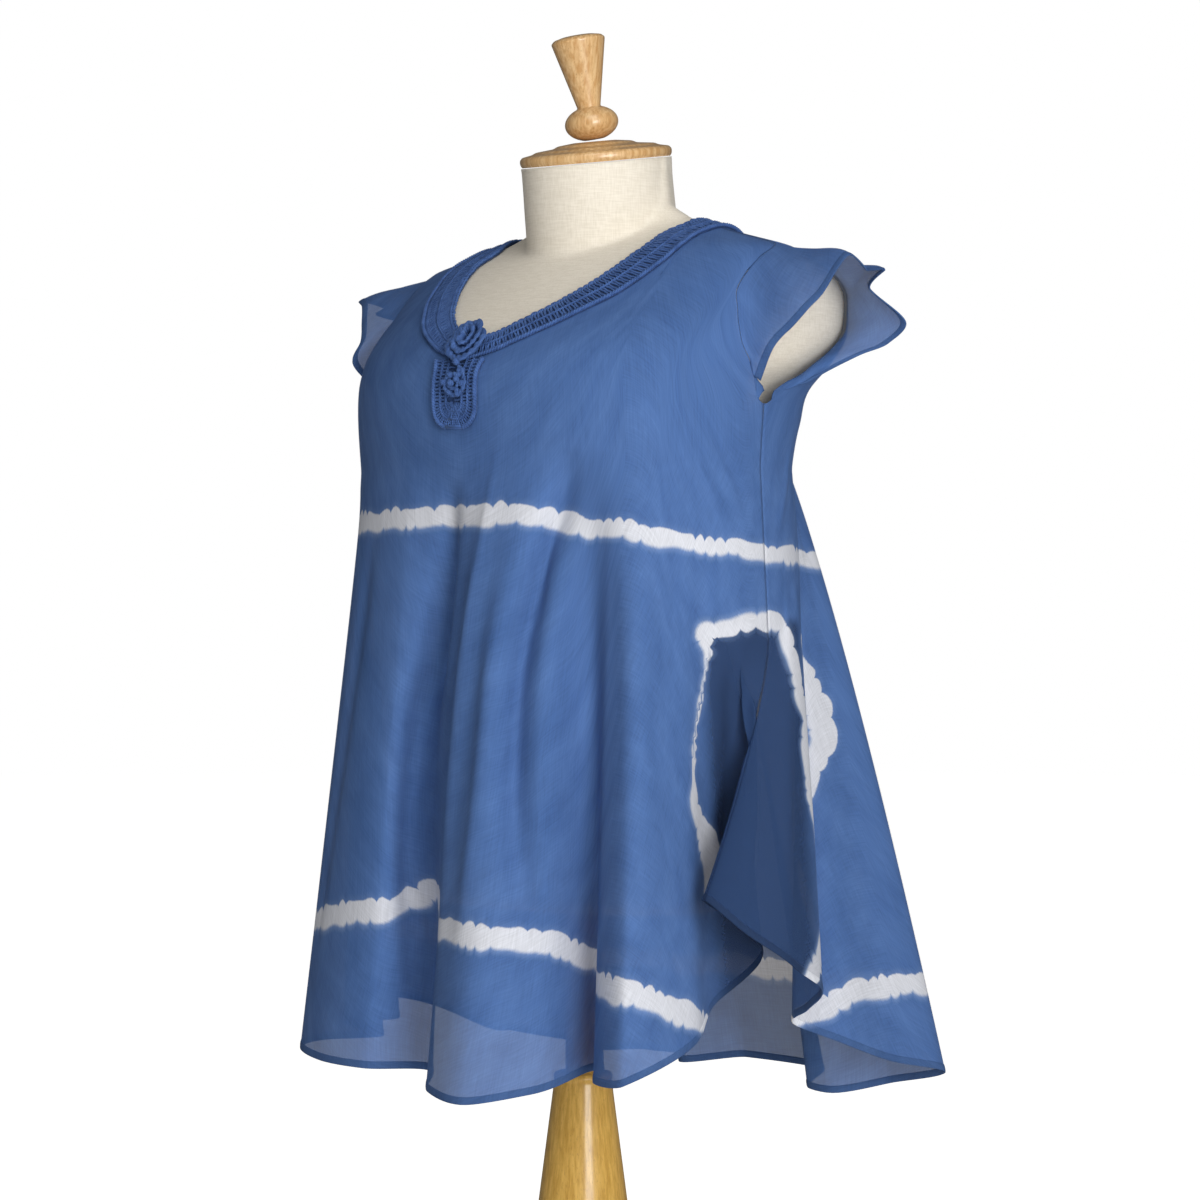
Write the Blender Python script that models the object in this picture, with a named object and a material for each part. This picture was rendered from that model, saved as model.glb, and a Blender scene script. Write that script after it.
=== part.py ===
"""A cap sleeve dress on a limbless dress form with a turned wood finial and pedestal.

Metres, +Z up. The front faces -Y and the wearer's left side is +X. The form's axis stands at
X = Y = 0 and the underside of the base disc is at Z = 0.

The dress is a thin wall. Round the body a point is named by its angle in degrees from the centre
front, positive towards the wearer's left. Down to the underarm the cloth lies on the form; below
it the cloth hangs in straight lines from the bust to the folds of the hem.
"""

import math

import bpy
import numpy as np
from mathutils import Matrix, Vector
from mathutils.bvhtree import BVHTree

# ---------------------------------------------------------------- driving sizes

SEAM_GAP = 0.0003
FORM_GAP = 0.0010
PANEL_WALL = 0.0012
SLEEVE_WALL = 0.0012
BAND_WALL = 0.0022

# Stand
BASE_RADIUS = 0.140
BASE_HEIGHT = 0.026
CONE_FOOT_RADIUS = 0.0555
CONE_TOP_RADIUS = 0.0230
PEDESTAL_TOP = 0.2950
COLLAR_RADIUS = 0.0240
COLLAR_HEIGHT = 0.0065
POLE_RADIUS = 0.014
TURNED_SIDES = 26

# Form
FORM_BOTTOM = 0.430
NECK_CENTRE_Y = 0.016
NECK_RADIUS = 0.0605
NECK_LEAN = -0.12
NECK_BLEND = 0.006
NECK_TOP = 1.0215
FORM_SIDES = 36
FORM_LEVELS = (
    0.430, 0.438, 0.475, 0.520, 0.570, 0.620, 0.655, 0.690, 0.725, 0.760, 0.785, 0.810, 0.825,
    0.840, 0.860, 0.884, 0.907, 0.926, 0.940, 0.949, 0.955, 0.961, 0.967, 0.973, 0.979, 0.988, 1.0215,
)

RIGHT_DROP = 0.0065

# Neck cap and finial. Each leans by (x, y) for one metre of height.
CAP_LEAN = (0.005, -0.136)
FINIAL_LEAN = (-0.084, -0.156)
CAP_RADIUS = 0.0612
CAP_EDGE = 0.0095
CAP_HEIGHT = 0.0165
CAP_BASE_Z = 1.0236
BALL_RADIUS = 0.0216
BALL_HEIGHT = 0.0280
CONE_FINIAL_FOOT = 0.0094
CONE_FINIAL_TOP = 0.0218
CONE_FINIAL_HEIGHT = 0.0540
CONE_DOME = 0.0035

# Crochet
BAND_STITCHES = 72
STITCH_RELIEF = 0.0010
BAND_INSIDE = 0.0013
PICOT = 0.0016
TAB_WIDTH = 0.045
TAB_HEIGHT = 0.051
TAB_CENTRE = -0.004
TAB_FLARE = 0.003
TAB_WALL = 0.0020

# Dress
UNDERARM_Z = 0.824
SIDE_SEAM = 90.0
COLUMNS_PER_SPACE = 2
SHOULDER_THREADS = (44.0, 54.0)
BACK_SHOULDER_THREADS = (136.0, 126.0)
BODICE_LEVELS = (1.0, 0.93, 0.84, 0.72, 0.58, 0.42, 0.26, 0.12)
SKIRT_LEVELS = (0.0, 0.055, 0.125, 0.25, 0.40, 0.55, 0.70, 0.85, 1.0)

# The form by height: half width, front and back of the body, the y of its widest points, and how
# square the section is before and behind them (2 is an ellipse).
FORM_SECTIONS = (
    # height, half_width, front_y, back_y, side_y, front_square, back_square
    (0.430, 0.126, -0.084, 0.080, 0.000, 2.2, 2.2),
    (0.438, 0.146, -0.098, 0.094, 0.000, 2.2, 2.2),
    (0.520, 0.158, -0.106, 0.102, 0.000, 2.2, 2.2),
    (0.620, 0.135, -0.090, 0.082, 0.000, 2.2, 2.2),
    (0.690, 0.120, -0.082, 0.070, 0.000, 2.2, 2.2),
    (0.760, 0.143, -0.112, 0.084, -0.012, 2.2, 2.3),
    (0.810, 0.160, -0.1370, 0.104, -0.010, 2.3, 2.5),
    (0.840, 0.172, -0.1390, 0.113, -0.002, 2.4, 2.8),
    (0.860, 0.187, -0.1330, 0.122, 0.011, 2.4, 3.6),
    (0.884, 0.195, -0.1130, 0.130, 0.021, 2.3, 4.5),
    (0.907, 0.196, -0.0845, 0.131, 0.026, 2.2, 4.5),
    (0.926, 0.194, -0.0600, 0.122, 0.029, 2.2, 4.0),
    (0.940, 0.187, -0.0410, 0.102, 0.030, 2.2, 3.2),
    (0.949, 0.174, -0.0270, 0.083, 0.030, 2.2, 2.6),
    (0.955, 0.152, -0.0160, 0.070, 0.030, 2.2, 2.4),
    (0.961, 0.129, -0.0060, 0.064, 0.030, 2.1, 2.2),
    (0.967, 0.108, 0.0020, 0.062, 0.030, 2.0, 2.0),
    (0.973, 0.089, 0.0080, 0.062, 0.030, 2.0, 2.0),
    (0.979, 0.077, 0.0110, 0.060, 0.030, 2.0, 2.0),
    (0.988, 0.060, 0.0160, 0.054, 0.030, 2.0, 2.0),
)

# How far the cloth stands off the form at each height, at the sides, front and back.
EASE = (
    # height, side, front, back
    (0.760, 0.0500, 0.0280, 0.0210),
    (0.810, 0.0340, 0.0045, 0.0100),
    (0.840, 0.0210, 0.0030, 0.0100),
    (0.860, 0.0090, 0.0025, 0.0080),
    (0.884, 0.0040, 0.0022, 0.0040),
    (0.907, 0.0025, 0.0020, 0.0022),
    (0.940, 0.0020, 0.0020, 0.0020),
    (0.988, 0.0020, 0.0020, 0.0020),
)

# The smooth cone that the skirt's folds start from.
SKIRT_TOP_Z = 0.775
SKIRT_HEM = {"z": 0.30, "half_width": 0.212, "front_y": -0.182, "back_y": 0.188, "side_y": 0.0}

# Every ridge and valley of the hem: the angle of its thread at the bust, its place in plan at the
# hem, the hem's height there, the height where the fold begins and how it grows from there (1 is a
# straight line, more is slower at first).
FOLDS = (
    # thread, plan_angle, plan_radius, hem_z, start_z, growth
    (-171.0, -168.0, 0.166, 0.283, 0.76, 1.1),
    (-164.0, -162.0, 0.208, 0.284, 0.76, 1.1),
    (-155.0, -153.0, 0.215, 0.285, 0.76, 1.1),
    (-144.0, -142.0, 0.162, 0.291, 0.76, 1.1),
    (-136.0, -136.0, 0.212, 0.292, 0.76, 1.1),
    (-125.0, -124.0, 0.236, 0.298, 0.76, 1.1),
    (-114.0, -112.0, 0.178, 0.309, 0.76, 1.1),
    (-104.0, -106.0, 0.232, 0.323, 0.76, 1.1),
    (-90.0, -97.0, 0.262, 0.331, 0.76, 1.0),
    (-80.0, -86.0, 0.236, 0.329, 0.76, 1.0),
    (-71.0, -82.0, 0.184, 0.325, 0.76, 1.0),
    (-63.0, -76.0, 0.224, 0.321, 0.76, 1.1),
    (-55.5, -63.0, 0.168, 0.318, 0.76, 1.1),
    (-48.0, -57.0, 0.214, 0.316, 0.78, 1.0),
    (-40.0, -48.0, 0.2262, 0.3144, 0.79, 1.0),
    (-27.0, -34.0, 0.2130, 0.3110, 0.79, 1.0),
    (-16.0, -20.0, 0.1920, 0.3100, 0.79, 1.0),
    (-6.4, -15.0, 0.1440, 0.3070, 0.79, 1.0),
    (6.4, 6.0, 0.2000, 0.3020, 0.79, 1.0),
    (14.0, 18.0, 0.2270, 0.2990, 0.79, 1.0),
    (21.0, 31.0, 0.2080, 0.3060, 0.79, 1.0),
    (33.0, 47.0, 0.1440, 0.3160, 0.79, 1.0),
    (41.6, 44.3, 0.2000, 0.3137, 0.78, 1.0),
    (48.7, 49.0, 0.2460, 0.3180, 0.78, 1.0),
    (58.9, 65.0, 0.2150, 0.3425, 0.74, 1.0),
    (66.9, 78.9, 0.1750, 0.3700, 0.70, 1.1),
    (73.0, 92.0, 0.1780, 0.3950, 0.68, 1.2),
    (82.0, 75.3, 0.2094, 0.4300, 0.66, 1.3),
    (90.0, 63.6, 0.2419, 0.4530, 0.64, 1.3),
    (95.8, 68.6, 0.2682, 0.4300, 0.66, 1.2),
    (101.3, 76.0, 0.2773, 0.4050, 0.68, 1.1),
    (108.6, 86.2, 0.2580, 0.3820, 0.69, 1.0),
    (116.3, 94.9, 0.2156, 0.3600, 0.70, 1.0),
    (122.9, 103.1, 0.1862, 0.3450, 0.72, 1.0),
    (127.6, 107.8, 0.2194, 0.3300, 0.74, 1.0),
    (134.0, 118.0, 0.2474, 0.3120, 0.79, 0.85),
    (142.0, 128.0, 0.2887, 0.2970, 0.80, 0.72),
    (150.2, 138.8, 0.2517, 0.2820, 0.79, 0.85),
    (156.8, 137.8, 0.2008, 0.2750, 0.76, 1.1),
    (160.5, 143.0, 0.1860, 0.2770, 0.76, 1.1),
    (167.0, 155.0, 0.2154, 0.2850, 0.76, 1.1),
    (180.0, 180.0, 0.2066, 0.2860, 0.76, 1.1),
)

# The top edge of a front half, from the centre front along the crochet band's outer edge to the
# shoulder seam, out along it and down the armhole: the thread's angle at the bust, the point's
# distance from the middle as a share of the body's half width there, and its height.
FRONT_TOP = (
    # thread, share, height
    (0.0, 0.000, 0.8580),
    (4.8, 0.120, 0.8635),
    (12.5, 0.265, 0.8755),
    (18.0, 0.359, 0.8855),
    (23.5, 0.443, 0.8975),
    (28.0, 0.512, 0.9085),
    (32.0, 0.569, 0.9229),
    (35.5, 0.622, 0.9370),
    (38.5, 0.679, 0.9480),
    (41.5, 0.820, 0.9570),
    (44.0, 1.000, 0.9635),
    (54.0, 1.000, 0.9500),
    (58.0, 0.939, 0.9356),
    (63.0, 0.906, 0.9140),
    (69.0, 0.931, 0.8951),
    (76.0, 0.965, 0.8722),
    (82.0, 0.987, 0.8568),
    (86.5, 0.997, 0.8424),
    (90.0, 1.000, 0.8240),
)

BACK_TOP = (
    # thread, share, height
    (180.0, 0.000, 0.9300),
    (168.0, 0.259, 0.9315),
    (156.0, 0.446, 0.9370),
    (147.0, 0.585, 0.9455),
    (141.0, 0.756, 0.9550),
    (136.0, 1.000, 0.9635),
    (126.0, 1.000, 0.9500),
    (122.0, 0.965, 0.9350),
    (117.0, 0.945, 0.9150),
    (111.0, 0.950, 0.8950),
    (104.0, 0.970, 0.8720),
    (98.0, 0.985, 0.8550),
    (94.0, 0.997, 0.8420),
    (90.0, 1.000, 0.8240),
)

# The crochet band's inner edge, thread by thread as its outer edge on the panels.
FRONT_NECKLINE = (
    # thread, share, height
    (0.0, 0.000, 0.8755),
    (4.8, 0.078, 0.8775),
    (12.5, 0.181, 0.8880),
    (18.0, 0.259, 0.8985),
    (23.5, 0.318, 0.9090),
    (28.0, 0.368, 0.9190),
    (32.0, 0.418, 0.9310),
    (35.5, 0.471, 0.9430),
    (38.5, 0.542, 0.9520),
    (41.5, 0.698, 0.9610),
    (44.0, 1.000, 0.9705),
)

BACK_NECKLINE = (
    # thread, share, height
    (180.0, 0.000, 0.9410),
    (168.0, 0.215, 0.9420),
    (156.0, 0.382, 0.9475),
    (147.0, 0.545, 0.9550),
    (141.0, 0.738, 0.9630),
    (136.0, 1.000, 0.9705),
)

# The free edge of each cap sleeve: the share of the way round the armhole from its front end over
# the shoulder to its back end, and the edge's place, x being the distance from the centre.
LEFT_SLEEVE = (
    # share, x, y, z
    (0.00, 0.196, -0.0160, 0.8410),
    (0.08, 0.215, -0.0220, 0.8670),
    (0.16, 0.232, -0.0200, 0.8820),
    (0.24, 0.243, -0.0157, 0.8947),
    (0.31, 0.252, -0.0100, 0.9060),
    (0.38, 0.262, -0.0043, 0.9248),
    (0.45, 0.268, 0.0035, 0.9345),
    (0.52, 0.262, 0.0310, 0.9248),
    (0.58, 0.282, 0.0280, 0.9237),
    (0.65, 0.250, 0.0518, 0.9110),
    (0.75, 0.262, 0.0797, 0.8880),
    (0.83, 0.240, 0.0860, 0.8717),
    (0.89, 0.222, 0.0748, 0.8633),
    (0.95, 0.205, 0.0580, 0.8517),
    (1.00, 0.196, 0.0380, 0.8400),
)

RIGHT_SLEEVE = (
    # share, x, y, z
    (0.00, 0.192, -0.0420, 0.8440),
    (0.10, 0.199, -0.0620, 0.8660),
    (0.20, 0.207, -0.0450, 0.8850),
    (0.30, 0.226, -0.0250, 0.9020),
    (0.40, 0.243, -0.0080, 0.9170),
    (0.46, 0.263, 0.0100, 0.9230),
    (0.53, 0.254, 0.0280, 0.9180),
    (0.60, 0.270, 0.0360, 0.9130),
    (0.67, 0.246, 0.0540, 0.9020),
    (0.76, 0.254, 0.0770, 0.8800),
    (0.84, 0.234, 0.0790, 0.8660),
    (0.92, 0.210, 0.0600, 0.8520),
    (1.00, 0.194, 0.0360, 0.8400),
)
SLEEVE_FRONT_END = 0.845
SLEEVE_BACK_END = 0.838
SLEEVE_COLUMNS = 36
SLEEVE_ROWS = 6

# ---------------------------------------------------------------- curves and sections


def columns_of(table):
    return np.array(table, float).T


def smooth(x, xs, ys):
    """Reads ys at x along a smooth curve through the points that never swings past them."""
    xs, ys = np.asarray(xs, float), np.asarray(ys, float)
    x = np.clip(np.asarray(x, float), xs[0], xs[-1])
    step = np.diff(xs)
    slope = (np.diff(ys, axis=0).T / step).T
    near = np.empty_like(ys)
    near[0], near[-1] = slope[0], slope[-1]
    for i in range(1, len(xs) - 1):
        before, after = slope[i - 1], slope[i]
        mean = (before * step[i] + after * step[i - 1]) / (step[i - 1] + step[i])
        most = 3 * np.minimum(np.abs(before), np.abs(after))
        near[i] = np.where(before * after > 0, np.clip(mean, -most, most), 0.0)
    i = np.clip(np.searchsorted(xs, x, side="right") - 1, 0, len(step) - 1)
    h = step[i]
    s = (x - xs[i]) / h
    if ys.ndim > 1:
        s, h = s[..., None], h[..., None]
    a, b = 2 * s**3 - 3 * s**2 + 1, s**3 - 2 * s**2 + s
    c, d = -2 * s**3 + 3 * s**2, s**3 - s**2
    return a * ys[i] + b * h * near[i] + c * ys[i + 1] + d * h * near[i + 1]


def section_point(angle, size):
    """A point of a section that is as wide as its half width and reaches its front and back."""
    half_width, front_y, back_y, side_y, front_square, back_square = size
    turn = np.radians(angle)
    across, along = np.sin(turn), np.cos(turn)
    square = np.where(along >= 0, front_square, back_square)
    depth = np.where(along >= 0, side_y - front_y, back_y - side_y)
    x = half_width * np.sign(across) * np.abs(across) ** (2 / square)
    y = side_y - depth * np.sign(along) * np.abs(along) ** (2 / square)
    return x, y


def settled(points):
    """Lets the wearer's right shoulder down beside the neck, where it hangs lower than the left."""
    points = np.array(points, float)
    beside = np.clip(-points[..., 0] / 0.10, 0, 1)
    above = np.clip((points[..., 2] - 0.90) / 0.05, 0, 1)
    below_neck = np.clip((1.000 - points[..., 2]) / 0.02, 0, 1)
    points[..., 2] -= RIGHT_DROP * beside * above * below_neck
    return points


def form_size(z):
    rows = np.array(FORM_SECTIONS)
    return np.moveaxis(smooth(z, rows[:, 0], rows[:, 1:]), -1, 0)


def cloth_size(z):
    """The smooth body of the dress at a height: on the form above, a plain cone below."""
    z = np.asarray(z, float)
    held = np.maximum(z, SKIRT_TOP_Z)
    size = form_size(held)
    rows = np.array(EASE)
    ease = np.moveaxis(smooth(held, rows[:, 0], rows[:, 1:]), -1, 0)
    size[0] += ease[0]
    size[1] -= ease[1]
    size[2] += ease[2]
    hem = np.array([SKIRT_HEM[k] for k in ("half_width", "front_y", "back_y", "side_y")] + [2.1, 2.1])
    share = np.clip((SKIRT_TOP_Z - z) / (SKIRT_TOP_Z - SKIRT_HEM["z"]), 0, None)
    hem = hem.reshape((6,) + (1,) * z.ndim)
    return size + (hem - size) * share


def body_point(angle, z):
    """A point of the dress where it lies on the form, or of its plain cone below."""
    x, y = section_point(angle, cloth_size(z))
    return settled(np.stack([x, y, np.broadcast_to(z, x.shape)], -1))


# ---------------------------------------------------------------- skirt and bodice


def fold_curves():
    """The fold table with its rows repeated past both ends, so that it runs on round the body."""
    rows = np.array(FOLDS)
    before, after = rows.copy(), rows.copy()
    before[:, 0] -= 360
    after[:, 0] += 360
    return np.concatenate([before, rows, after])


def hem_height(thread):
    rows = fold_curves()
    return smooth(thread, rows[:, 0], rows[:, 3])


def skirt_point(thread, drop):
    """A point of the skirt: drop is 0 at the underarm's level and 1 at the hem."""
    thread, drop = np.broadcast_arrays(np.asarray(thread, float), np.asarray(drop, float))
    rows = fold_curves()
    hem_z = hem_height(thread)
    z = UNDERARM_Z + (hem_z - UNDERARM_Z) * drop
    base = body_point(thread, z)
    plan = np.radians(rows[:, 1])
    at_hem = np.stack([rows[:, 2] * np.sin(plan), -rows[:, 2] * np.cos(plan)], -1)
    plain = body_point(rows[:, 0], rows[:, 3])[:, :2]
    moved = at_hem - plain
    shift = np.zeros(thread.shape + (2,))
    for level in np.unique(np.round(drop, 9)):
        here = np.abs(drop - level) < 1e-8
        row_z = UNDERARM_Z + (rows[:, 3] - UNDERARM_Z) * level
        grown = np.clip((rows[:, 4] - row_z) / (rows[:, 4] - rows[:, 3]), 0, 1) ** rows[:, 5]
        shift[here] = smooth(thread[here], rows[:, 0], moved * grown[:, None])
    base[..., :2] += shift
    return base


def angle_at(x, z, back):
    """The angle of the body's point at a distance x from the middle plane, before or behind it."""
    size = cloth_size(z)
    square = size[5] if back else size[4]
    angle = np.degrees(np.arcsin(np.clip(np.abs(x) / size[0], 0, 1) ** (square / 2)))
    return np.where(np.asarray(x) < 0, -1.0, 1.0) * (180 - angle if back else angle)


def across_at(share, z):
    return share * cloth_size(z)[0]


def bodice_point(thread, rise, table):
    """Angle and height of a point above the underarm: rise is 0 there and 1 at the top edge."""
    rows = np.array(sorted(table))
    back = rows[0, 0] == SIDE_SEAM
    side, hand = np.abs(thread), np.where(thread < 0, -1.0, 1.0)
    share = smooth(side, rows[:, 0], rows[:, 1])
    top_z = smooth(side, rows[:, 0], rows[:, 2])
    z = UNDERARM_Z + (top_z - UNDERARM_Z) * rise
    low = section_point(side, cloth_size(np.full_like(side, UNDERARM_Z)))[0]
    x = low + (across_at(share, top_z) - low) * rise
    return hand * angle_at(x, z, back), z


def body_normal(angle, z):
    """The outward normal of the body, read a little to either side."""
    along = body_point(angle + 0.4, z) - body_point(angle - 0.4, z)
    up = body_point(angle, z + 0.0006) - body_point(angle, z - 0.0006)
    normal = np.cross(along, up)
    return normal / np.linalg.norm(normal, axis=-1, keepdims=True)


def skirt_normal(thread, drop):
    along = skirt_point(thread + 0.3, drop) - skirt_point(thread - 0.3, drop)
    low, high = np.clip(drop + 0.01, 0, 1), np.clip(drop - 0.01, 0, 1)
    up = skirt_point(thread, high) - skirt_point(thread, low)
    normal = np.cross(along, up)
    return normal / np.linalg.norm(normal, axis=-1, keepdims=True)


# ---------------------------------------------------------------- mesh helpers


def material(name, colour, roughness, metallic=0.0):
    made = bpy.data.materials.new(name)
    made.use_nodes = True
    shader = made.node_tree.nodes["Principled BSDF"]
    shader.inputs["Base Color"].default_value = (*colour, 1.0)
    shader.inputs["Roughness"].default_value = roughness
    shader.inputs["Metallic"].default_value = metallic
    return made


def add_object(name, points, faces, finish, parent):
    mesh = bpy.data.meshes.new(name)
    mesh.from_pydata([tuple(map(float, p)) for p in points], [], faces)
    mesh.validate()
    mesh.materials.append(finish)
    mesh.shade_smooth()
    made = bpy.data.objects.new(name, mesh)
    bpy.context.scene.collection.objects.link(made)
    made.parent = parent
    return made


def turned(name, profile, centre, finish, parent, sides=TURNED_SIDES, tilt=None):
    """A turned solid from (radius, height) points, top to bottom, about an upright axis."""
    angles = np.linspace(0, 2 * math.pi, sides, endpoint=False)
    points, rings = [], []
    for radius, height in profile:
        rings.append(len(points))
        points += [(radius * math.sin(a), -radius * math.cos(a), height) for a in angles]
    faces = [tuple(range(rings[0], rings[0] + sides))]
    for a, b in zip(rings, rings[1:]):
        for i in range(sides):
            j = (i + 1) % sides
            faces.append((a + j, a + i, b + i, b + j))
    faces.append(tuple(reversed(range(rings[-1], rings[-1] + sides))))
    made = add_object(name, points, faces, finish, parent)
    made.location = centre
    if tilt is not None:
        made.rotation_euler = tilt
    return made


# ---------------------------------------------------------------- pieces


def thread_angles(low, high, corners):
    """Threads of a panel: two to each space of the fold table, and one at each shoulder corner."""
    rows = fold_curves()[:, 0]
    ends = [low] + [r for r in rows if low + 1e-6 < r < high - 1e-6] + [high]
    found = []
    for a, b in zip(ends, ends[1:]):
        found += list(np.linspace(a, b, COLUMNS_PER_SPACE, endpoint=False))
    found = [low] + [t for t in found[1:] if min(abs(t - c) for c in corners) > 1.4]
    return np.array(sorted(found + list(corners) + [high]))


def panel_grid(threads, table, corners):
    """Points and normals of a panel from its top edge to the hem, parted at the shoulder seams."""
    wrapped = np.where(threads > 180, threads - 360, threads)
    points, normals = [], []
    for rise in BODICE_LEVELS:
        angle, z = bodice_point(wrapped, rise, table)
        points.append(body_point(angle, z))
        normals.append(body_normal(angle, z))
    for drop in SKIRT_LEVELS:
        level = np.full_like(threads, drop)
        points.append(skirt_point(threads, level))
        normals.append(skirt_normal(threads, level))
    points, normals = np.array(points), np.array(normals)
    top = len(BODICE_LEVELS) + 1
    points[:top] = clear_of_form(points[:top], normals[:top], PANEL_WALL)
    side = np.abs(wrapped)
    seam = (side > min(corners) - 0.01) & (side < max(corners) + 0.01)
    points[0, seam, 1] += SEAM_GAP / 2 * (-1 if table is FRONT_TOP else 1)
    return points, normals


def off_form(points):
    """How far points stand off the form's faces, less than zero inside it."""
    away = np.empty(len(points))
    for k, point in enumerate(points):
        here = Vector(point)
        near, facing, _, _ = FORM_TREE[0].find_nearest(here)
        away[k] = math.copysign((here - near).length, (here - near).dot(facing))
    return away


def clear_of_form(points, normals, inside, free=slice(None)):
    """Moves the free rows out along their normals until the wall's faces stand off the form."""
    points = points.copy()
    moves = np.zeros(points.shape[0])
    moves[free] = 1.0
    corners = (
        ((0, 0),),
        ((0, 0), (0, 1)),
        ((0, 0), (1, 0)),
        ((0, 0), (1, 1)),
        ((0, 1), (1, 0)),
        ((0, 0), (0, 0), (0, 1)),
        ((0, 0), (0, 1), (0, 1)),
        ((0, 0), (0, 0), (1, 1)),
        ((0, 0), (1, 1), (1, 1)),
        ((0, 1), (0, 1), (1, 0)),
        ((0, 1), (1, 0), (1, 0)),
        ((0, 0), (0, 1), (1, 0)),
        ((0, 1), (1, 0), (1, 1)),
    )
    for _ in range(12):
        need = np.zeros(points.shape[:2])
        inner = points - normals * inside
        for group in corners:
            rows = points.shape[0] - max(c[0] for c in group)
            columns = points.shape[1] - max(c[1] for c in group)
            parts = [inner[r : r + rows, c : c + columns] for r, c in group]
            short = FORM_GAP - off_form(np.mean(parts, axis=0).reshape(-1, 3))
            short = np.clip(short.reshape(rows, columns), 0, None)
            for r, c in group:
                view = need[r : r + rows, c : c + columns]
                np.maximum(view, short, out=view)
        points += normals * (need * moves[:, None])[..., None]
    return points


def panels():
    """Threads, points and normals of the front and the back panel."""
    gap = math.degrees(SEAM_GAP / 2 / 0.19)
    a, b = SHOULDER_THREADS
    front = thread_angles(-SIDE_SEAM + gap, SIDE_SEAM - gap, (-b, -a, a, b))
    c, d = BACK_SHOULDER_THREADS
    back = thread_angles(SIDE_SEAM + gap, 360 - SIDE_SEAM - gap, (d, c, 360 - c, 360 - d))
    return (
        (front, *panel_grid(front, FRONT_TOP, SHOULDER_THREADS)),
        (back, *panel_grid(back, BACK_TOP, BACK_SHOULDER_THREADS)),
    )


def build_dress(parent, cotton, made):
    for name, (threads, points, normals) in zip(("front_panel", "back_panel"), made):
        points, faces = shell(points, points - normals * PANEL_WALL)
        add_object(name, points, faces, cotton, parent)


FORM_TREE = []


def build_form(parent, linen):
    """The torso and neck as one loft: each ring is the body and the neck, whichever is further out."""
    angles = np.linspace(-180, 180, FORM_SIDES, endpoint=False)
    rings = []
    for z in FORM_LEVELS:
        if z < 0.93:
            x, y = section_point(angles, form_size(z))
        else:
            x, y = neck_join(np.radians(angles), z)
        rings.append(settled(np.stack([x, y, np.full_like(x, z)], -1)))
    rings[-1][:, 2] = CAP_BASE_Z - CAP_LEAN[0] * rings[-1][:, 0]
    rings[-1][:, 2] -= CAP_LEAN[1] * (rings[-1][:, 1] - NECK_CENTRE_Y) + 2 * SEAM_GAP
    points = np.concatenate(rings)
    count = len(angles)
    faces = [tuple(reversed(range(count)))]
    for r in range(len(rings) - 1):
        for i in range(count):
            j = (i + 1) % count
            a, b = r * count, (r + 1) * count
            faces.append((a + i, a + j, b + j, b + i))
    faces.append(tuple(range((len(rings) - 1) * count, len(rings) * count)))
    FORM_TREE.append(BVHTree.FromPolygons([tuple(p) for p in points], faces))
    return add_object("form_torso", points, faces, linen, parent)


def neck_join(turn, z):
    """Seen from the neck's axis, the larger of the shoulders and the neck, blended where they meet."""
    fine = np.linspace(-180, 180, 721)
    top = FORM_SECTIONS[-1][0]
    centre = NECK_CENTRE_Y + NECK_LEAN * (z - NECK_TOP)
    x, y = section_point(fine, form_size(min(z, top)))
    around = np.unwrap(np.arctan2(x, -(y - centre)))
    reach = np.hypot(x, y - centre)
    body = np.interp(turn, around, reach, period=2 * math.pi)
    far = np.maximum(body, NECK_RADIUS)
    near = np.abs(body - NECK_RADIUS)
    soft = NECK_BLEND * (1 - np.clip((z - top) / (NECK_TOP - top), 0, 1))
    r = far + 0.5 * (np.sqrt(near**2 + soft**2) - near)
    return r * np.sin(turn), centre - r * np.cos(turn)


def shell(outer, inner, closed=False):
    """Points and faces of a wall between two grids whose rows run down and columns to the left."""
    rows, columns = outer.shape[:2]
    points = np.concatenate([outer.reshape(-1, 3), inner.reshape(-1, 3)])
    half = rows * columns
    faces = []
    spans = range(columns if closed else columns - 1)
    for r in range(rows - 1):
        for c in spans:
            a, b = r * columns + c, r * columns + (c + 1) % columns
            faces.append((a, a + columns, b + columns, b))
            faces.append((half + a, half + b, half + b + columns, half + a + columns))
    last = (rows - 1) * columns
    for c in spans:
        a, b = c, (c + 1) % columns
        faces.append((a, b, half + b, half + a))
        faces.append((last + a, half + last + a, half + last + b, last + b))
    if not closed:
        for r in range(rows - 1):
            a, b = r * columns, (r + 1) * columns
            faces.append((a, half + a, half + b, b))
            a, b = a + columns - 1, b + columns - 1
            faces.append((a, b, half + b, half + a))
    return points, faces


def surface_normals(grid, closed=False):
    """Unit normals of a grid whose rows run down and whose columns run with the angle."""
    if closed:
        across = np.roll(grid, -1, 1) - np.roll(grid, 1, 1)
    else:
        across = np.gradient(grid, axis=1)
    down = np.gradient(grid, axis=0)
    normal = np.cross(across, -down)
    return normal / np.linalg.norm(normal, axis=-1, keepdims=True)


def polyline_at(points, values, share):
    """Points of a polyline at shares of its length, and the values that run along it."""
    length = np.concatenate([[0], np.cumsum(np.linalg.norm(np.diff(points, axis=0), axis=1))])
    at = np.asarray(share) * length[-1]
    here = np.stack([np.interp(at, length, points[:, k]) for k in range(points.shape[1])], -1)
    return here, np.interp(at, length, values)


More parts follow.
